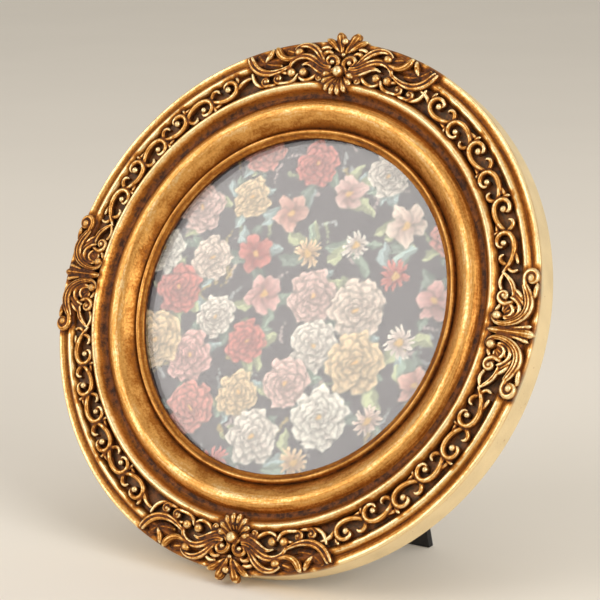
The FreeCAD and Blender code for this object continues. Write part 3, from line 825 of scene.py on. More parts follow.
@dataclass
class Carving:
    """Strands and beads laid out flat, then bent round the frieze and melted into one casting.

    A knot is (u, v, crest, half width): millimetres along the frieze, outwards from its middle line, and
    above the seat of the glass. The gilding starts at the tarnish. Narrow and broad hollows darken it with
    patina by their gains, low places inside the rim take painted shade by the shade, and the highest crests
    are lightened by the rub, as rubbed gilding and as a painted highlight."""

    middle: float = 67.35
    floor: float = 1.9
    grain: float = 0.2
    swell: float = 1.22
    tarnish: float = 0.80
    narrow: int = 3
    narrow_gain: float = 8.5
    broad: int = 14
    broad_gain: float = 3.4
    shade: float = 0.7
    shade_span: tuple[float, float] = (2.6, 4.6)
    rim_span: tuple[float, float] = (7.2, 8.2)
    rub_and_highlight: float = 0.5
    rub_and_highlight_span: tuple[float, float] = (6.1, 6.7)
    strands: list[list[Knot]] = field(default_factory=list)
    beads: list[Knot] = field(default_factory=list)

    def strand(self, *knots: Knot) -> None:
        """Lays a strand and its mirror image."""
        self.strands.append(list(knots))
        self.strands.append([(-u, v, crest, half) for u, v, crest, half in knots])

    def ribbon(self, *knots: Knot, ribs: int) -> None:
        """Lays a broad leaf or ribbon as strands side by side, the middle ones highest.

        Args:
            knots: the knots of its middle line, whose half width is the whole ribbon's.
            ribs: how many strands it is divided into.
        """
        spots = np.array([knot[:2] for knot in knots])
        ways = np.gradient(spots, axis=0)
        sides = np.stack([-ways[:, 1], ways[:, 0]], 1) / np.linalg.norm(ways, axis=1)[:, None]
        for rib in range(ribs):
            share = (2 * rib + 1) / ribs - 1
            self.strand(*((knot[0] + side[0] * share * knot[3], knot[1] + side[1] * share * knot[3],
                           knot[2] - 0.25 * abs(share), knot[3] / ribs * (1.0 if ribs == 1 else 0.92))
                          for knot, side in zip(knots, sides)))

    def bead(self, u: float, v: float, crest: float, radius: float) -> None:
        """Lays a bead and its mirror image."""
        self.beads.append((u, v, crest, radius))
        if u:
            self.beads.append((-u, v, crest, radius))

    def tubes(self) -> bpy.types.Object:
        """Sweeps every strand as a round bar with its underside dropped to the floor.

        Returns:
            One mesh of all the strands, laid out flat.
        """
        lines = [[(u, v, crest - half * self.swell, half * self.swell) for u, v, crest, half in nosed(knots)]
                 for knots in self.strands]
        tubes = swept("NURBS", lines, 1.0, 2)
        recalculate(tubes, 1e-5)
        places, ways = points_of(tubes), normals_of(tubes)
        places[ways[:, 2] < -0.05, 2] = self.floor
        move_points(tubes, places)
        return tubes

    def drops(self) -> list[bpy.types.Object]:
        """Returns: every bead as a ball with its underside dropped to the floor, laid out flat."""
        balls = []
        for u, v, crest, radius in self.beads:
            clear_selection()
            bpy.ops.mesh.primitive_uv_sphere_add(segments=18, ring_count=12, radius=radius,
                                                 location=(u, v, crest - radius))
            bpy.ops.object.transform_apply(location=True)
            ball = bpy.context.object
            places = points_of(ball)
            places[places[:, 2] < crest - radius - 0.01, 2] = self.floor
            move_points(ball, places)
            balls.append(ball)
        return balls

    def carve(self, angle: float) -> bpy.types.Object:
        """Bends the layout round the frieze at an angle, melts it and ages its hollows.

        Args:
            angle: degrees round the ring of the layout's middle.

        Returns:
            The carved piece in the upright frame.
        """
        piece = join([self.tubes()] + self.drops())
        u, v, rise = points_of(piece).T
        turn = math.radians(angle) - u / self.middle
        radius = self.middle + v
        bent = [radius * np.cos(turn), -(STANCE.seat + rise), radius * np.sin(turn)]
        move_points(piece, np.stack(bent, 1))
        apply_modifier(piece, "REMESH", mode="VOXEL", voxel_size=self.grain, adaptivity=0.0)
        apply_modifier(piece, "SMOOTH", factor=0.5, iterations=2)
        x, y, z = points_of(piece).T
        rise, out = -y - STANCE.seat, np.hypot(x, z) - self.middle
        patina_shade_and_highlight = self.tarnish + self.narrow_gain * concavity(piece, self.narrow)
        patina_shade_and_highlight += self.broad_gain * concavity(piece, self.broad)
        # Painted shade on the low places inside the rim; on the highest crests a painted highlight, partly
        # rubbed gilding.
        inside, low = 1 - smoothstep(*self.rim_span, out), 1 - smoothstep(*self.shade_span, rise)
        patina_shade_and_highlight += self.shade * inside * low
        patina_shade_and_highlight -= self.rub_and_highlight * smoothstep(*self.rub_and_highlight_span, rise)
        note(piece, "patina_shade_and_highlight", np.clip(patina_shade_and_highlight, *PATINA_SHADE_HIGHLIGHT_SPAN))
        note(piece, "matte", np.zeros(len(patina_shade_and_highlight)))
        return piece


@dataclass
class HeadCartouche(Carving):
    """The scallop, ribbons, hollow leaves and fleur at the top and the bottom of the frame."""

    def lay(self) -> "HeadCartouche":
        """Returns: the same carving with its strands laid out."""
        self.fan()
        self.volutes()
        self.ribbons()
        self.leaves()
        self.undergrowth()
        self.fleur()
        return self

    def fan(self) -> None:
        """The pearl and the eight petals that open inwards from it."""
        self.bead(0, -0.8, 7.0, 1.6)
        for lean, reach in ((11, 6.1), (33, 6.0), (55, 5.4), (78, 4.7)):
            s, c = math.sin(math.radians(lean)), -math.cos(math.radians(lean))
            self.strand(*((s * at, -0.8 + c * at, crest, half) for at, crest, half in (
                (2.0, 4.4, 0.26), (2.9, 5.1, 0.42), (reach - 1.0, 6.0, 0.8), (reach, 5.9, 0.86))))

    def volutes(self) -> None:
        """The two centre volutes over the pearl and the veined curls outside them."""
        self.strand((2.4, -0.4, 5.3, 0.45), (0.9, 0.4, 5.3, 0.5), (0.7, 2.2, 5.4, 0.6),
                    (2.2, 3.8, 5.4, 0.62), (4.2, 3.4, 5.4, 0.55), (4.6, 1.9, 5.2, 0.45),
                    (3.4, 1.3, 5.1, 0.35))
        self.bead(2.7, 2.0, 5.6, 0.72)
        self.strand((5.2, 1.2, 5.0, 0.4), (6.3, 2.8, 5.0, 0.5), (5.9, 4.8, 5.0, 0.6), (4.0, 5.3, 4.9, 0.5),
                    (3.2, 4.4, 4.8, 0.35))
        self.strand((7.2, 5.6, 4.7, 0.35), (5.9, 6.8, 4.8, 0.6), (4.3, 6.3, 4.7, 0.4))

    def ribbons(self) -> None:
        """The three ribbons of each side, and the balls that they end in."""
        self.ribbon((2.2, -0.6, 5.3, 0.5), (4.0, -1.5, 5.4, 0.8), (6.6, -0.6, 5.3, 0.95),
                    (9.0, 1.3, 5.1, 0.8), (11.2, 2.2, 4.8, 0.45), (12.6, 1.6, 4.6, 0.25), ribs=2)
        self.ribbon((3.0, 0.4, 5.4, 0.5), (5.2, 0.2, 5.4, 0.75), (7.6, 2.2, 5.3, 1.0),
                    (10.6, 4.2, 5.2, 0.95), (13.8, 4.2, 5.0, 0.75), (16.2, 2.6, 4.8, 0.5),
                    (16.7, 0.9, 4.7, 0.4), ribs=2)
        self.bead(12.1, -0.5, 5.2, 1.25)
        self.bead(15.9, -0.2, 5.3, 1.3)
        self.ribbon((4.8, 1.0, 5.3, 0.4), (6.1, 3.0, 5.3, 0.7), (7.8, 5.6, 5.2, 0.95),
                    (10.4, 7.4, 5.1, 0.85), (13.2, 7.6, 5.0, 0.6), (14.6, 6.4, 4.9, 0.4), ribs=2)
        self.bead(13.5, 5.5, 5.5, 1.25)
        self.strand((3.0, -2.2, 4.7, 0.35), (4.8, -2.5, 4.8, 0.45),
                    *curl(6.4, -2.6, 90, -320, 1.1, 0.5, 4.8, 0.4, 0.35))
        self.bead(6.4, -2.6, 5.0, 0.55)

    def leaves(self) -> None:
        """The two hollow leaves over the outer bead. Each is a deep crescent with a dished web in it."""
        self.ribbon((12.4, 4.7, 4.6, 0.35), (15.2, 3.6, 4.9, 0.55), (18.0, 4.1, 5.1, 0.75),
                    (19.7, 5.9, 5.2, 0.95), (20.0, 7.8, 5.0, 0.8), ribs=1)
        self.strand((14.4, 5.6, 4.1, 0.9), (16.2, 6.2, 4.15, 1.3), (17.6, 7.0, 4.0, 1.2))
        self.ribbon((15.8, 2.0, 4.6, 0.35), (18.6, 0.9, 4.9, 0.6), (22.0, 0.5, 5.1, 0.9),
                    (25.4, 1.6, 5.2, 1.1), (27.8, 4.4, 5.2, 1.15), (28.2, 7.4, 5.0, 0.95), ribs=2)
        self.strand((20.0, 2.9, 4.0, 1.0), (22.8, 3.4, 4.1, 1.6), (25.2, 5.6, 4.1, 1.6),
                    (25.8, 7.2, 4.0, 1.1))
        self.ribbon((21.4, 7.8, 4.6, 0.5), (22.1, 6.2, 4.9, 0.8), (23.6, 5.0, 4.7, 0.45), ribs=1)

    def undergrowth(self) -> None:
        """The small curls and leaflets between the ribbons and the inner bead."""
        self.strand((6.8, -1.0, 4.7, 0.4), (8.4, -2.4, 4.7, 0.55), (10.6, -3.2, 4.6, 0.55),
                    (12.8, -2.8, 4.5, 0.45), (13.6, -1.5, 4.4, 0.35))
        self.strand((13.8, -0.8, 4.5, 0.35), (14.6, -2.5, 4.6, 0.5), (16.6, -3.2, 4.6, 0.55),
                    (18.8, -2.9, 4.5, 0.45), *curl(20.3, -1.3, 260, 320, 1.5, 0.6, 4.6, 0.45, 0.38))
        self.bead(20.3, -1.3, 4.8, 0.6)
        self.strand((20.9, -2.7, 4.4, 0.4), (22.2, -3.0, 4.5, 0.45),
                    *curl(24.4, -1.2, 240, 330, 1.6, 0.6, 4.6, 0.5, 0.4))
        self.bead(24.4, -1.2, 4.8, 0.65)
        self.strand((25.0, -2.7, 4.4, 0.4), (27.2, -1.9, 4.6, 0.6), (28.4, 0.4, 4.5, 0.5),
                    (28.3, 2.4, 4.6, 0.4))
        self.strand((17.0, -0.3, 4.5, 0.4), (18.4, 0.2, 4.6, 0.5), (19.6, 1.0, 4.6, 0.4))

    def fleur(self) -> None:
        """The four lobed flower that stands past the rim, with its small pearl."""
        self.strand((0.5, 4.8, 4.7, 0.35), (1.0, 6.6, 4.9, 0.65), (1.9, 8.9, 5.0, 1.1),
                    (2.4, 10.3, 4.9, 1.15))
        self.strand((1.2, 5.2, 4.6, 0.35), (2.8, 6.6, 4.8, 0.65), (4.3, 8.2, 4.9, 0.95),
                    (5.5, 8.8, 4.7, 0.6))
        self.bead(0, 8.1, 5.9, 0.95)
        self.bead(0, 4.4, 5.0, 0.6)


@dataclass
class SideCartouche(Carving):
    """The ribbed spine between two hollow shells, at the right and the left of the frame."""

    def lay(self) -> "SideCartouche":
        """Returns: the same carving with its strands laid out."""
        self.strands.append([(0, -4.0, 5.5, 0.45), (0, -1.0, 5.1, 0.5), (0, 3.0, 5.2, 0.75),
                             (0, 6.4, 5.3, 1.05), (0, 8.0, 4.9, 0.9)])
        self.strand((0.45, -3.7, 5.1, 0.25), (0.75, -0.5, 4.8, 0.3), (1.05, 3.6, 4.9, 0.38),
                    (1.6, 6.4, 4.9, 0.5), (1.9, 7.4, 4.6, 0.4))
        self.shell()
        self.arm()
        self.tail()
        return self

    def shell(self) -> None:
        """The nested C scrolls that make a ribbed shell, and the ball they turn round."""
        self.bead(4.0, -2.4, 6.0, 1.25)
        self.strand((4.8, -0.6, 3.7, 1.4), (5.0, 1.6, 3.9, 1.9), (6.2, 3.6, 3.9, 1.6))
        self.strand((3.4, -0.5, 4.7, 0.35), (3.0, 1.6, 4.9, 0.45), (4.3, 3.6, 5.0, 0.55),
                    (6.5, 3.9, 4.9, 0.55), (8.4, 2.5, 4.8, 0.45), (9.0, 0.8, 4.6, 0.35))
        self.strand((3.9, -0.6, 4.6, 0.3), (3.8, 0.8, 4.7, 0.4), (5.0, 2.0, 4.8, 0.5),
                    (6.6, 1.7, 4.7, 0.45), (7.4, 0.3, 4.5, 0.35))
        for angle, reach in ((120, 4.8), (92, 4.6), (64, 4.4), (38, 4.2), (12, 3.6)):
            s, c = math.sin(math.radians(angle)), math.cos(math.radians(angle))
            self.strand((4.6 + 0.8 * c, -1.4 + 0.8 * s, 4.2, 0.3),
                        (4.6 + 0.5 * reach * c, -1.4 + 0.55 * reach * s, 4.4, 0.42),
                        (4.6 + reach * c, -1.4 + 1.1 * reach * s, 4.5, 0.5))

    def arm(self) -> None:
        """The broad arm that rises beside the spine, runs along the rim and ends in a ball volute."""
        self.ribbon((4.2, -3.7, 5.3, 0.45), (2.4, -3.4, 5.4, 0.55), (1.7, -0.9, 5.4, 0.6),
                    (2.2, 2.2, 5.4, 0.75), (3.8, 5.2, 5.4, 1.05), (6.6, 6.7, 5.3, 1.35),
                    (9.8, 5.9, 5.2, 1.2), (12.2, 4.5, 5.1, 0.75), ribs=3)
        self.strand((11.4, 4.9, 5.1, 0.6), (13.2, 4.6, 5.1, 0.65),
                    *curl(13.8, 6.7, 290, 300, 2.1, 1.0, 5.1, 0.68, 0.5))
        self.bead(13.6, 6.7, 5.6, 1.15)
        self.strand((9.0, 7.4, 4.8, 0.5), (10.6, 7.7, 4.9, 0.65), (12.0, 8.1, 4.6, 0.4))
        self.strand((8.6, 4.3, 4.7, 0.4), (10.2, 3.2, 4.8, 0.6), (11.0, 1.9, 4.6, 0.4))
        self.strand((6.8, 4.9, 4.6, 0.4), (8.6, 3.6, 4.8, 0.5), (9.8, 2.0, 4.5, 0.3))

    def tail(self) -> None:
        """The curl under the shell and the long leaf that joins the vine."""
        self.strand((7.9, 1.4, 4.6, 0.4), (7.2, -0.4, 4.8, 0.55),
                    *curl(9.5, -1.2, 190, 330, 2.0, 0.7, 4.9, 0.58, 0.42))
        self.bead(9.6, -1.2, 5.1, 0.8)
        self.ribbon((9.2, 1.5, 4.6, 0.4), (11.6, 1.7, 4.8, 0.7), (14.0, 0.3, 4.7, 0.6),
                    (16.2, -1.7, 4.4, 0.3), ribs=2)
        self.strand((5.0, -3.2, 4.6, 0.4), (6.4, -2.9, 4.7, 0.55), (7.3, -1.8, 4.5, 0.35))
        self.strand((11.0, -2.0, 4.4, 0.35), (12.6, -2.9, 4.4, 0.5), (14.4, -2.7, 4.3, 0.45),
                    (15.8, -1.6, 4.3, 0.35))


@dataclass
class RunningScroll(Carving):
    """The vine between two cartouches: stems that link volutes at the outer and the inner edge in turn."""

    pitch: float = 9.2
    count: int = 6
    offset: float = 0.7

    def lay(self) -> "RunningScroll":
        """Returns: the same carving with its strands laid out, this one without a mirror image."""
        start = -self.pitch * (self.count - 1) / 2 - 1.0
        for index in range(self.count):
            self.volute(start + index * self.pitch, 1 if index % 2 == 0 else -1)
        last = start + (self.count - 1) * self.pitch
        self.strands.append([(start - 2.6, -0.4, 4.6, 0.5), (start - 4.8, 1.5, 4.6, 0.55),
                             (start - 7.4, 1.4, 4.4, 0.4)])
        self.strands.append([(last + 7.0, -0.6, 4.4, 0.4), (last + 9.0, 0.6, 4.5, 0.5),
                             (last + 8.2, 2.2, 4.4, 0.35)])
        return self

    def volute(self, u: float, side: int) -> None:
        """One stem, its spiral, its ball and its leaflets.

        Args:
            u: the spiral's middle along the frieze.
            side: 1 for the outer edge, -1 for the inner one.
        """
        v = side * self.offset
        shape = ((8.4, 1.3, 4.3, 0.32), (6.8, -0.4, 4.5, 0.46), (4.0, -2.3, 4.8, 0.6), (0.4, -2.9, 4.9, 0.64),
                 (-2.4, -1.7, 4.9, 0.6), (-2.8, 0.8, 4.9, 0.56), (-0.9, 2.4, 4.8, 0.5), (1.3, 1.9, 4.7, 0.42),
                 (1.2, 0.8, 4.6, 0.36))
        self.strands.append([(u + du, v + side * dv, crest, half) for du, dv, crest, half in shape])
        self.beads.append((u + 0.3, v + side * 0.2, 5.1, 0.95 if side > 0 else 0.85))
        for leaf in (((6.5, -0.6, 4.4, 0.35), (6.0, 0.9, 4.4, 0.5), (4.8, 1.9, 4.4, 0.55),
                      (3.5, 1.7, 4.3, 0.45), (3.3, 0.8, 4.2, 0.32)),
                     ((-2.7, 0.4, 4.4, 0.35), (-3.3, 1.6, 4.4, 0.5), (-2.9, 2.7, 4.2, 0.4)),
                     ((3.2, -2.5, 4.4, 0.35), (4.8, -3.0, 4.3, 0.5), (6.3, -3.1, 4.2, 0.4))):
            self.strands.append([(u + du, v + side * dv, crest, half) for du, dv, crest, half in leaf])


@dataclass
class Ornament:
    """All the carving of the frame: each kind is carved once and repeated by turns and mirrors. Each angle is
    where a kind's middle is round the ring, and a few of its copies are darkened with painted shade."""

    top_angle: float = 89.1
    right_angle: float = 0.0
    vine_angle: float = 39.5
    side_tarnish: float = 0.58
    shaded_copies: tuple[tuple[str, float], ...] = (
        ("cartouche_left", 0.26), ("cartouche_bottom", 0.03), ("vine_lower_left", 0.04))

    def build(self) -> dict[str, bpy.types.Object]:
        """Returns: the carved pieces by name, still in the upright frame."""
        half_turn = Matrix.Rotation(math.pi, 4, "Y")
        mirror = Matrix.Scale(-1, 4, (1, 0, 0))
        upside_down = Matrix.Scale(-1, 4, (0, 0, 1))
        top = HeadCartouche().lay().carve(self.top_angle)
        right = SideCartouche(tarnish=self.side_tarnish).lay().carve(self.right_angle)
        vine = RunningScroll().lay().carve(self.vine_angle)
        pieces = {"cartouche_top": top, "cartouche_bottom": copied(top, upside_down),
                  "cartouche_right": right, "cartouche_left": copied(right, half_turn),
                  "vine_upper_right": vine, "vine_lower_left": copied(vine, half_turn),
                  "vine_upper_left": copied(vine, mirror), "vine_lower_right": copied(vine, upside_down)}
        # Painted shade: these copies are darker than the pieces they repeat.
        for name, more in self.shaded_copies:
            self.darken(pieces[name], more)
        return pieces

    def darken(self, piece: bpy.types.Object, more: float) -> None:
        """Darkens a carved piece beyond its twin, as painted shade.

        Args:
            piece: a carved piece.
            more: how much darker it gets, as painted shade.
        """
        layer = piece.data.attributes["patina_shade_and_highlight"]
        values = np.empty(len(layer.data))
        layer.data.foreach_get("value", values)
        layer.data.foreach_set("value", np.clip(values + more, *PATINA_SHADE_HIGHLIGHT_SPAN))

    def dress(self, pieces: dict[str, bpy.types.Object], finish: bpy.types.Material) -> None:
        """Sets every carved piece in place.

        Args:
            pieces: the carved pieces by name.
            finish: the gilding.
        """
        for name, piece in pieces.items():
            settle(piece, name, Body.FRAME, finish, ["moulding"], 60.0)


# ---------------------------------------------------------------- the print and its pane

@dataclass(frozen=True)
class Flower:
    """The rows of petals of a flower, outermost first, and its eye's share of its radius. A row holds its
    count, then how far out its petals sit and how long and wide their halves are, as shares of the radius."""

    rows: tuple[tuple[int, float, float, float], ...]
    eye: float


class Bloom(Enum):
    """The kinds of flower in the print."""

    OPEN = Flower(((5, 0.52, 0.47, 0.42),), 0.18)
    DAISY = Flower(((14, 0.60, 0.40, 0.12),), 0.26)
    ROSE = Flower(((9, 0.62, 0.36, 0.34), (8, 0.45, 0.33, 0.29), (6, 0.29, 0.28, 0.24), (5, 0.15, 0.22, 0.19),
                   (3, 0.06, 0.14, 0.13)), 0.09)


@dataclass
class Canvas:
    """The places of the print's points, across and upwards, and the screen colour that each has so far."""

    x: np.ndarray
    z: np.ndarray
    ink: np.ndarray

    def lay(self, mask: np.ndarray, tone: np.ndarray, strength: float) -> None:
        """Lays a tone over the colours where a mask says."""
        self.ink += mask[:, None] * (tone - self.ink) * strength


@dataclass
class FlowerPrint:
    """A scatter of garden flowers on a dark ground, painted by formula on a fine disc."""

    radius: float = 50.8
    depth: float = 3.55
    thickness: float = 0.25
    cell: float = 0.34
    seed: int = 41
    bloom_count: int = 36
    spray_count: int = 120
    leaf_count: int = 4
    spacing: float = 8.4
    spray_reach: float = 51.0
    leaf_setback: float = 5.8
    ground: Colour = (74, 65, 72)
    bare: Colour = (226, 224, 218)
    eye: Colour = (222, 178, 108)
    greens: tuple[Colour, ...] = ((136, 152, 138), (164, 180, 182), (180, 184, 146), (116, 128, 120))
    buds: tuple[Colour, ...] = ((206, 212, 214), (226, 196, 120), (188, 200, 150), (230, 206, 204))
    petals: tuple[Colour, ...] = (
        (250, 240, 232), (242, 208, 202), (228, 158, 148), (248, 228, 216), (246, 218, 180), (238, 192, 188),
        (252, 246, 238), (218, 136, 128), (236, 190, 178))
    order: tuple[tuple[Bloom, float], ...] = (
        (Bloom.ROSE, 8.6), (Bloom.OPEN, 6.0), (Bloom.ROSE, 7.4), (Bloom.DAISY, 4.6), (Bloom.ROSE, 6.6))

    def paint(self, x: np.ndarray, z: np.ndarray) -> np.ndarray:
        """Paints the flowers.

        Args:
            x: places across, in millimetres.
            z: places upwards, in millimetres.

        Returns:
            A screen colour, 0 to 255, for each place.
        """
        rng = np.random.default_rng(self.seed)
        ink = np.tile(np.array(self.ground, float), (len(x), 1))
        ink += (np.sin(x * 0.9 + 2 * np.sin(z * 0.5)) * np.sin(z * 0.8 + x * 0.3))[:, None] * 7
        x = x + 0.45 * np.sin(0.8 * z + 1.3) + 0.22 * np.sin(2.3 * z + 0.7 * x)
        z = z + 0.45 * np.sin(0.7 * x + 0.4) + 0.22 * np.sin(2.1 * x - 0.9 * z)
        canvas = Canvas(x, z, ink)
        golden = math.pi * (3 - math.sqrt(5))
        spots = []
        for index in range(self.bloom_count):
            reach, angle = self.spacing * math.sqrt(index + 0.35), index * golden + 0.6
            spots.append((reach * math.cos(angle) + rng.uniform(-1, 1),
                          reach * math.sin(angle) + rng.uniform(-1, 1)))
        for _ in range(self.spray_count):
            turn, reach = rng.uniform(0, 2 * math.pi), self.spray_reach * math.sqrt(rng.uniform())
            self.spray(canvas, reach * math.cos(turn), reach * math.sin(turn), rng)
        for u, v in spots:
            for _ in range(self.leaf_count):
                turn, out = rng.uniform(0, 2 * math.pi), self.leaf_setback
                self.leaf(canvas, u + out * math.cos(turn), v + out * math.sin(turn),
                          turn + rng.uniform(-0.6, 0.6), rng.uniform(2.6, 5.0), self.greens[rng.integers(4)])
        for index, spot in enumerate(spots):
            kind, size = self.order[index % len(self.order)]
            size *= rng.uniform(0.9, 1.1)
            tone = self.petals[(index * 4 + int(rng.integers(2))) % len(self.petals)]
            self.bloom(canvas, spot, size, tone, kind.value, rng)
        return np.clip(ink, 0, 255)

    def leaf(self, canvas: Canvas, u: float, v: float, turn: float, long: float, green: Colour) -> None:
        """Paints one pointed leaf with a pale rib.

        Args:
            canvas: what it is painted on.
            u: the leaf's middle across.
            v: the leaf's middle upwards.
            turn: its direction, in radians.
            long: its half length.
            green: its colour.
        """
        x, z = canvas.x - u, canvas.z - v
        along = x * math.cos(turn) + z * math.sin(turn)
        across = -x * math.sin(turn) + z * math.cos(turn) + 0.06 * along ** 2
        width = 0.42 * long * np.clip(1 - (along / long) ** 2, 0, 1) ** 0.8
        mask = smoothstep(-0.35, 0.35, width - np.abs(across)) * (np.abs(along) < long)
        tone = np.array(green) * (1 + 0.12 * np.sign(across))[:, None]
        rib = np.exp(-(across / 0.22) ** 2)[:, None] * 26
        canvas.lay(mask, tone + rib, 0.85)

    def bloom(self, canvas: Canvas, spot: tuple[float, float], size: float, tone: Colour, flower: Flower,
              rng: np.random.Generator) -> None:
        """Paints one flower petal by petal, from the outermost row in, round a warm eye.

        Args:
            canvas: what it is painted on.
            spot: its middle.
            size: its radius.
            tone: its petals' colour.
            flower: its rows and its eye.
            rng: the seeded source of variety.
        """
        near = np.hypot(canvas.x - spot[0], canvas.z - spot[1]) < size * 1.15
        across, up = canvas.x[near] - spot[0], canvas.z[near] - spot[1]
        part = canvas.ink[near]
        start = rng.uniform(0, 2 * math.pi)
        for row, (count, out, long, wide) in enumerate(flower.rows):
            for petal in range(count):
                angle = start + 2 * math.pi * (petal + 0.5 * row) / count + rng.uniform(-0.12, 0.12)
                c, s = math.cos(angle), math.sin(angle)
                a = (across * c + up * s - out * size) / (long * size)
                b = (up * c - across * s) / (wide * size * rng.uniform(0.9, 1.1))
                reach = np.hypot(a, b) + 0.05 * np.sin(5 * np.arctan2(b, a) + 3 * petal)
                part *= (1 - 0.2 * smoothstep(1.45, 1.0, reach))[:, None]
                light = 0.82 + 0.13 * a + 0.04 * np.cos(9 * b + petal) + rng.uniform(-0.05, 0.05) - 0.03 * row
                light += 0.05 * math.cos(angle - 2.2)
                blush = (1 - a)[:, None] * np.array((1, 10, 9))
                petal_tone = np.array(tone) * light[:, None] - blush
                part += smoothstep(1.1, 0.86, reach)[:, None] * (petal_tone - part)
        eye = smoothstep(-0.3, 0.4, size * flower.eye - np.hypot(across, up))
        part += eye[:, None] * (np.array(self.eye) - part) * 0.85
        canvas.ink[near] = part

    def spray(self, canvas: Canvas, u: float, v: float, rng: np.random.Generator) -> None:
        """Paints a few small buds in a bow.

        Args:
            canvas: what it is painted on.
            u: where the bow begins, across.
            v: where the bow begins, upwards.
            rng: the seeded source of variety.
        """
        turn, bend = rng.uniform(0, 6.28), rng.uniform(-0.35, 0.35)
        tone = np.array(self.buds[int(rng.integers(len(self.buds)))])
        for step in range(5):
            size = 0.75 - 0.09 * step
            canvas.lay(smoothstep(-0.25, 0.25, size - np.hypot(canvas.x - u, canvas.z - v)), tone, 0.6)
            u, v, turn = u + 1.3 * math.cos(turn), v + 1.3 * math.sin(turn), turn + bend

    def build(self, finish: bpy.types.Material) -> bpy.types.Object:
        """Cuts the disc, gives it its thickness and paints it.

        Args:
            finish: the paper.

        Returns:
            The print.
        """
        clear_selection()
        cells = round(2 * self.radius / self.cell)
        bpy.ops.mesh.primitive_grid_add(x_subdivisions=cells, y_subdivisions=cells, size=2)
        sheet = bpy.context.object
        a, b, _ = points_of(sheet).T
        x = a * np.sqrt(1 - b ** 2 / 2) * self.radius
        z = b * np.sqrt(1 - a ** 2 / 2) * self.radius
        front = -(self.depth + self.thickness)
        move_points(sheet, np.stack([x, np.full(len(x), front), z], 1))
        with editing(sheet):
            bpy.ops.mesh.extrude_region_move(TRANSFORM_OT_translate={"value": (0, self.thickness, 0)})
            bpy.ops.mesh.dissolve_faces()
        recalculate(sheet)
        x, y, z = points_of(sheet).T
        ink = self.paint(x, z)
        ink[y > front + self.thickness / 2] = self.bare
        layer = sheet.data.attributes.new("ink", "FLOAT_COLOR", "POINT")
        colours = np.column_stack([linear(ink), np.ones(len(ink))])
        layer.data.foreach_set("color", colours.astype(np.float32).ravel())
        return settle(sheet, "flower_print", Body.FRAME, finish, ["photo_print"], 30.0)


# ---------------------------------------------------------------- back, leg and hardware

@dataclass(frozen=True)
class Dome:
    """The size of a domed head: its radius and how far it stands off its seat."""

    radius: float
    height: float


@dataclass
class Fasteners:
    """The rivets of the hinge and the strap, and the slotted screws of the turn buttons."""

    rivet: Dome = Dome(2.0, 0.9)
    screw: Dome = Dome(2.3, 1.1)
    screw_seat: float = 1.2
    screw_turns: tuple[float, ...] = (25, 70, -30, 10)
    slot_width: float = 0.6
    slot_depth: float = 0.45

    def head(self, dome: Dome) -> bpy.types.Object:
        """Turns one domed head that stands on the back face at the origin.

        Args:
            dome: its size.

        Returns:
            The head, closed under its rim.
        """
        clear_selection()
        bpy.ops.mesh.primitive_uv_sphere_add(segments=40, ring_count=20, radius=dome.radius)
        head = bpy.context.object
        with editing(head):
            bpy.ops.mesh.bisect(plane_co=(0, 0, 0), plane_no=(0, 1, 0), clear_inner=True, use_fill=True)
        places = points_of(head)
        rim = np.clip(1 - np.hypot(places[:, 0], places[:, 2]) / dome.radius, 0, 1)
        places[:, 1] = dome.height * np.minimum(places[:, 1] / dome.radius * 1.25, 0.86 + 0.14 * rim ** 0.5)
        move_points(head, places)
        recalculate(head)
        return head

    def slotted(self) -> bpy.types.Object:
        """Returns: a screw head with its driver slot cut across."""
        head = self.head(self.screw)
        clear_selection()
        bpy.ops.mesh.primitive_cube_add(size=1, location=(0, self.screw.height, 0),
                                        scale=(3 * self.screw.radius, 2 * self.slot_depth, self.slot_width))
        bpy.ops.object.transform_apply(location=True, scale=True)
        cutter = bpy.context.object
        apply_modifier(head, "BOOLEAN", operation="DIFFERENCE", object=cutter, solver="EXACT")
        bpy.data.objects.remove(cutter)
        return head

    def build(self, back: "BackHardware", finish: bpy.types.Material) -> None:
        """Sets all the heads in place.

        Args:
            back: the sizes of what they fasten.
            finish: the brass.
        """
        rivet = self.head(self.rivet)
        groups = (("hinge_board_rivet_heads", "hinge_board_rivets", Body.FRAME, Matrix(), back.leaf_rivets()),
                  ("strap_rivet_head", "hanger_rivet", Body.FRAME, Matrix(), [back.strap_rivet()]),
                  ("hinge_leg_rivet_heads", "hinge_leg_rivets", Body.LEG, back.opening(), back.leg_rivets()))
        for name, node, body, turn, places in groups:
            heads = join([copied(rivet, turn @ Matrix.Translation(place)) for place in places])
            settle(heads, name, body, finish, [node], 50.0)
        bpy.data.objects.remove(rivet)
        screw = self.slotted()
        heads = join([copied(screw, back.button_place(angle, self.screw_seat, turn))
                      for angle, turn in zip(back.button_angles(), self.screw_turns)])
        bpy.data.objects.remove(screw)
        settle(heads, "turn_button_screw_heads", Body.FRAME, finish, ["turn_button_screws"], 35.0)


@dataclass(frozen=True)
class Strip:
    """A round ended strip of sheet with soft edges, which points along -x from its first end's middle."""

    start: float
    reach: float
    half_width: float
    seat: float
    height: float
    corners: int
    softness: float

    def build(self) -> bpy.types.Object:
        """Returns: the strip, standing on its seat."""
        clear_selection()
        bpy.ops.mesh.primitive_circle_add(vertices=self.corners, radius=self.half_width, fill_type="NGON")
        strip = bpy.context.object
        across, up, _ = points_of(strip).T
        flat = np.stack([across + self.start, np.full(len(across), self.seat), up], 1)
        flat[across < 0.01, 0] -= self.reach
        move_points(strip, flat)
        with editing(strip):
            bpy.ops.mesh.extrude_region_move(TRANSFORM_OT_translate={"value": (0, self.height, 0)})
        recalculate(strip)
        apply_modifier(strip, "BEVEL", width=self.softness, segments=3, limit_method="ANGLE")
        return strip


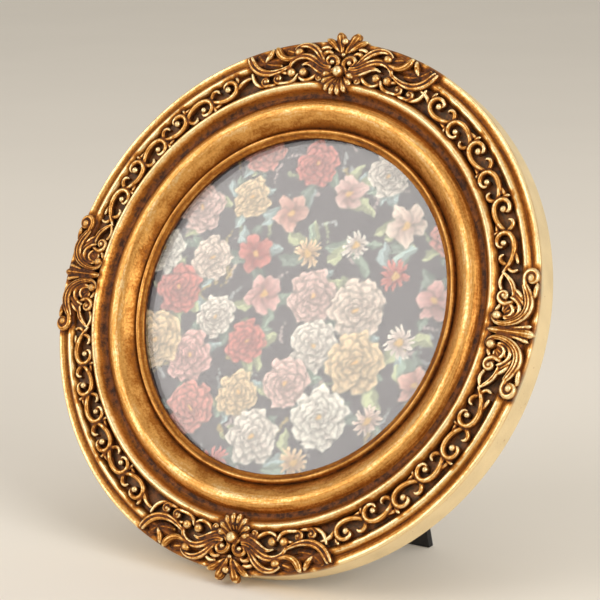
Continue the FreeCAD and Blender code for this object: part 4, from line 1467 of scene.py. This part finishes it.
@dataclass
class BackHardware:
    """The turn buttons and the hanging ring, and the places of all that is fixed to the back."""

    button_angle: float = 40.0
    button_radius: float = 59.0
    button_reach: float = 8.5
    button_half_width: float = 3.5
    button_gap: float = 0.1
    button_thickness: float = 1.0
    button_corners: int = 56
    button_softness: float = 0.22
    rib_start: float = -3.9
    rib_reach: float = 4.2
    rib_half_width: float = 0.8
    rib_height: float = 0.35
    rib_sink: float = 0.1
    rib_corners: int = 32
    rib_softness: float = 0.3
    hinge_height: float = 18.0
    knuckle_radius: float = 1.7
    leaf: float = 0.7
    rivet_spread: float = 7.5
    rivet_rise: float = 8.8
    leg_opening: float = 30.0
    eye_depth: float = 1.46
    eye_height: float = 44.0
    strap: float = 0.6
    strap_rivet_drop: float = 7.3
    wire: float = 0.8
    ring_half_width: float = 6.0
    ring_corner: float = 1.5
    ring_side: float = 4.5

    def button_angles(self) -> tuple[float, float, float, float]:
        """Returns: the angles of the four buttons round the frame."""
        a = self.button_angle
        return (a, 180 - a, 180 + a, 360 - a)

    def button_place(self, angle: float, seat: float, turn: float = 0.0) -> Matrix:
        """The step from the origin to a button's pivot.

        Args:
            angle: its place round the frame.
            seat: how far out of the back it sits.
            turn: a turn of the piece on its own pivot.

        Returns:
            The matrix, which also points the piece at the middle.
        """
        spin = Matrix.Rotation(-math.radians(angle), 4, "Y")
        own = Matrix.Rotation(math.radians(turn), 4, "Y")
        return spin @ Matrix.Translation((self.button_radius, seat, 0)) @ own

    def opening(self) -> Matrix:
        """Returns: the turn of the open leg on its pin."""
        pin = Matrix.Translation((0, self.knuckle_radius, self.hinge_height))
        return pin @ Matrix.Rotation(math.radians(self.leg_opening), 4, "X") @ pin.inverted()

    def leaf_rivets(self) -> list[Vector]:
        """Returns: where the rivets of the fixed leaf sit."""
        return [Vector((side * self.rivet_spread, self.leaf, self.hinge_height + self.rivet_rise))
                for side in (-1, 1)]

    def leg_rivets(self) -> list[Vector]:
        """Returns: where the rivets of the moving leaf sit while the leg is folded."""
        return [Vector((side * self.rivet_spread, 2 * self.knuckle_radius,
                        self.hinge_height - self.rivet_rise)) for side in (-1, 1)]

    def strap_rivet(self) -> Vector:
        """Returns: where the strap's rivet sits."""
        return Vector((0, self.strap, self.eye_height - self.strap_rivet_drop))

    def button(self) -> bpy.types.Object:
        """Stamps one turn button: a round ended plate with soft edges and a pressed rib.

        Returns:
            The button, with its pivot at the origin, pointing along -x.
        """
        plate = Strip(0.0, self.button_reach, self.button_half_width, 0.0, self.button_thickness,
                      self.button_corners, self.button_softness)
        rib = Strip(self.rib_start, self.rib_reach, self.rib_half_width,
                    self.button_thickness - self.rib_sink, self.rib_height + self.rib_sink,
                    self.rib_corners, self.rib_softness)
        return join([plate.build(), rib.build()])

    def ring_line(self) -> list[tuple[float, float]]:
        """Returns: the middle line of the D ring's wire as places across and down from its bar."""
        w, c, side = self.ring_half_width, self.ring_corner, self.ring_side
        right = [(w - c + c * math.sin(a), -c + c * math.cos(a)) for a in np.linspace(0, math.pi / 2, 7)]
        bowl = [(w * math.cos(a), -c - side - w * math.sin(a)) for a in np.linspace(0, math.pi, 29)]
        left = [(-x, z) for x, z in reversed(right)]
        return right + bowl + left

    def ring(self) -> bpy.types.Object:
        """Bends the hanging ring from round wire, hanging plumb from the strap's eye.

        Returns:
            The ring.
        """
        ring = swept("POLY", [[(x, 0.0, z, 1.0) for x, z in self.ring_line()]], self.wire, 4, closed=True)
        eye = Matrix.Translation((0, self.eye_depth, self.eye_height))
        ring.data.transform(eye @ Matrix.Rotation(math.radians(STANCE.lean), 4, "X"))
        recalculate(ring)
        return ring

    def build(self, finish: bpy.types.Material) -> None:
        """Sets the buttons and the ring in place.

        Args:
            finish: the brass.
        """
        button = self.button()
        bodies = (Body.UPPER_RIGHT, Body.UPPER_LEFT, Body.LOWER_LEFT, Body.LOWER_RIGHT)
        for body, angle in zip(bodies, self.button_angles()):
            piece = copied(button, self.button_place(angle, self.button_gap))
            name = body.value.replace("turn_button", "latch")
            settle(piece, name, body, finish, [body.value], 40.0)
        bpy.data.objects.remove(button)
        settle(self.ring(), "hanging_ring_wire", Body.RING, finish, ["hanger_ring"], 60.0)


@dataclass
class CarriedNodes:
    """The nodes whose solids are right as they are, and only take their finish here."""

    def dress(self, finishes: Finishes) -> None:
        """Gives each carried node its material.

        Args:
            finishes: the frame's finishes.
        """
        by_node = {"glass_pane": finishes.glass, "filler_card": finishes.card,
                   "backing_board": finishes.board, "backing_velvet": finishes.velvet,
                   "easel_leg": finishes.dyed, "leg_velvet": finishes.velvet}
        for name in ("hinge_fixed_leaf", "hinge_pin", "hinge_moving_leaf", "hanger_strap"):
            by_node[name] = finishes.brass
        for name, finish in by_node.items():
            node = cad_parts[name]
            node.data.materials.clear()
            node.data.materials.append(finish)
            LOG.info("%s: takes %s", name, finish.name)


# ---------------------------------------------------------------- studio

@dataclass(frozen=True)
class Lamp:
    """A square soft lamp that faces the frame: the way to it, how far off it hangs and how long its side is,
    both in metres, how bright its face is, where 1 is white, and its colour."""

    name: str
    way: tuple[float, float, float]
    distance: float
    size: float
    radiance: float
    tone: Colour
    aim: float = 0.07

    def hang(self) -> None:
        """Hangs the lamp."""
        data = bpy.data.lights.new(self.name, "AREA")
        data.shape = "SQUARE"
        data.size = self.size
        data.energy = self.radiance * math.pi * self.size * self.size
        data.color = rgba(self.tone)[:3]
        lamp = bpy.data.objects.new(self.name, data)
        bpy.context.collection.objects.link(lamp)
        way = Vector(self.way).normalized()
        lamp.location = Vector((0, 0, self.aim)) + way * self.distance
        lamp.rotation_euler = way.to_track_quat("Z", "Y").to_euler()


@dataclass
class Studio:
    """The pale floor, the soft lamps and the camera."""

    floor_radius: float = 6.0
    floor_drop: float = 0.0002
    floor_tone: Colour = (240, 234, 224)
    world_tone: Colour = (240, 235, 226)
    world_strength: float = 0.62
    lamps: tuple[Lamp, ...] = (
        Lamp("window", (-0.514, -0.710, 0.4815), 1.5, 1.0, 2.7, (255, 250, 248)),
        Lamp("overhead", (0.25, 0.1, 1.0), 1.4, 1.0, 0.8, (255, 253, 250)),
        Lamp("side", (1.0, -0.35, 0.45), 1.3, 0.7, 5.4, (255, 252, 248)))
    eye: tuple[float, float, float] = (0.3164, -0.50653, 0.20706)
    aim: tuple[float, float, float] = (77.3, 0.0, 31.8)
    lens: float = 132.0
    sensor: float = 36.0

    def floor(self) -> None:
        """Lays a round floor with a faintly uneven tone."""
        clear_selection()
        bpy.ops.mesh.primitive_circle_add(vertices=96, radius=self.floor_radius, fill_type="TRIFAN",
                                          location=(0, 0, -self.floor_drop))
        floor = bpy.context.object
        floor.name = "studio_floor"
        material, nodes, shader = blank("pale_floor")
        patches = nodes.ramp(nodes.noise(nodes.place(), 3.0), 0.3, 0.7)
        tone = nodes.mix(patches, rgba(self.floor_tone), rgba(self.floor_tone, 0.97))
        nodes.feed(shader, {"Base Color": tone, "Roughness": 0.75})
        floor.data.materials.append(material)

    def world(self) -> None:
        """Sets the even light from all round, and a pale backdrop where the camera sees past the floor."""
        world = bpy.context.scene.world or bpy.data.worlds.new("studio")
        bpy.context.scene.world = world
        world.use_nodes = True
        world.node_tree.nodes.clear()
        nodes = Nodes(world.node_tree)
        even = nodes.add("Background", {0: rgba(self.world_tone), 1: self.world_strength})
        seen = nodes.add("Background", {0: rgba(self.world_tone), 1: 1.0})
        path = nodes.add("LightPath").outputs
        plain = nodes.math("MAXIMUM", path["Is Camera Ray"], path["Is Transmission Ray"])
        blend = nodes.add("MixShader", {0: plain, 1: even.outputs[0], 2: seen.outputs[0]})
        nodes.add("OutputWorld", {0: blend.outputs[0]})

    def camera(self) -> None:
        """Sets the camera where the photograph was taken from."""
        data = bpy.data.cameras.new("camera")
        data.lens = self.lens
        data.sensor_width = self.sensor
        data.clip_start = 0.02
        data.clip_end = 50.0
        camera = bpy.data.objects.new("camera", data)
        bpy.context.collection.objects.link(camera)
        camera.location = self.eye
        camera.rotation_euler = [math.radians(angle) for angle in self.aim]
        bpy.context.scene.camera = camera

    def build(self) -> None:
        """Sets up the whole studio."""
        self.floor()
        self.world()
        for lamp in self.lamps:
            lamp.hang()
        self.camera()
        bpy.context.scene.view_settings.view_transform = "Standard"


def main() -> None:
    """Builds the frame's dress piece by piece."""
    logging.basicConfig(level=logging.INFO, format="%(name)s %(message)s")
    finishes = Finishes()
    ornament = Ornament()
    carved = ornament.build()
    GiltRing().build(carved.values(), finishes.gilt)
    ornament.dress(carved, finishes.gilt)
    FlowerPrint().build(finishes.paper)
    back = BackHardware()
    back.build(finishes.brass)
    Fasteners().build(back, finishes.brass)
    CarriedNodes().dress(finishes)
    Studio().build()


if __name__ == "__main__":
    main()
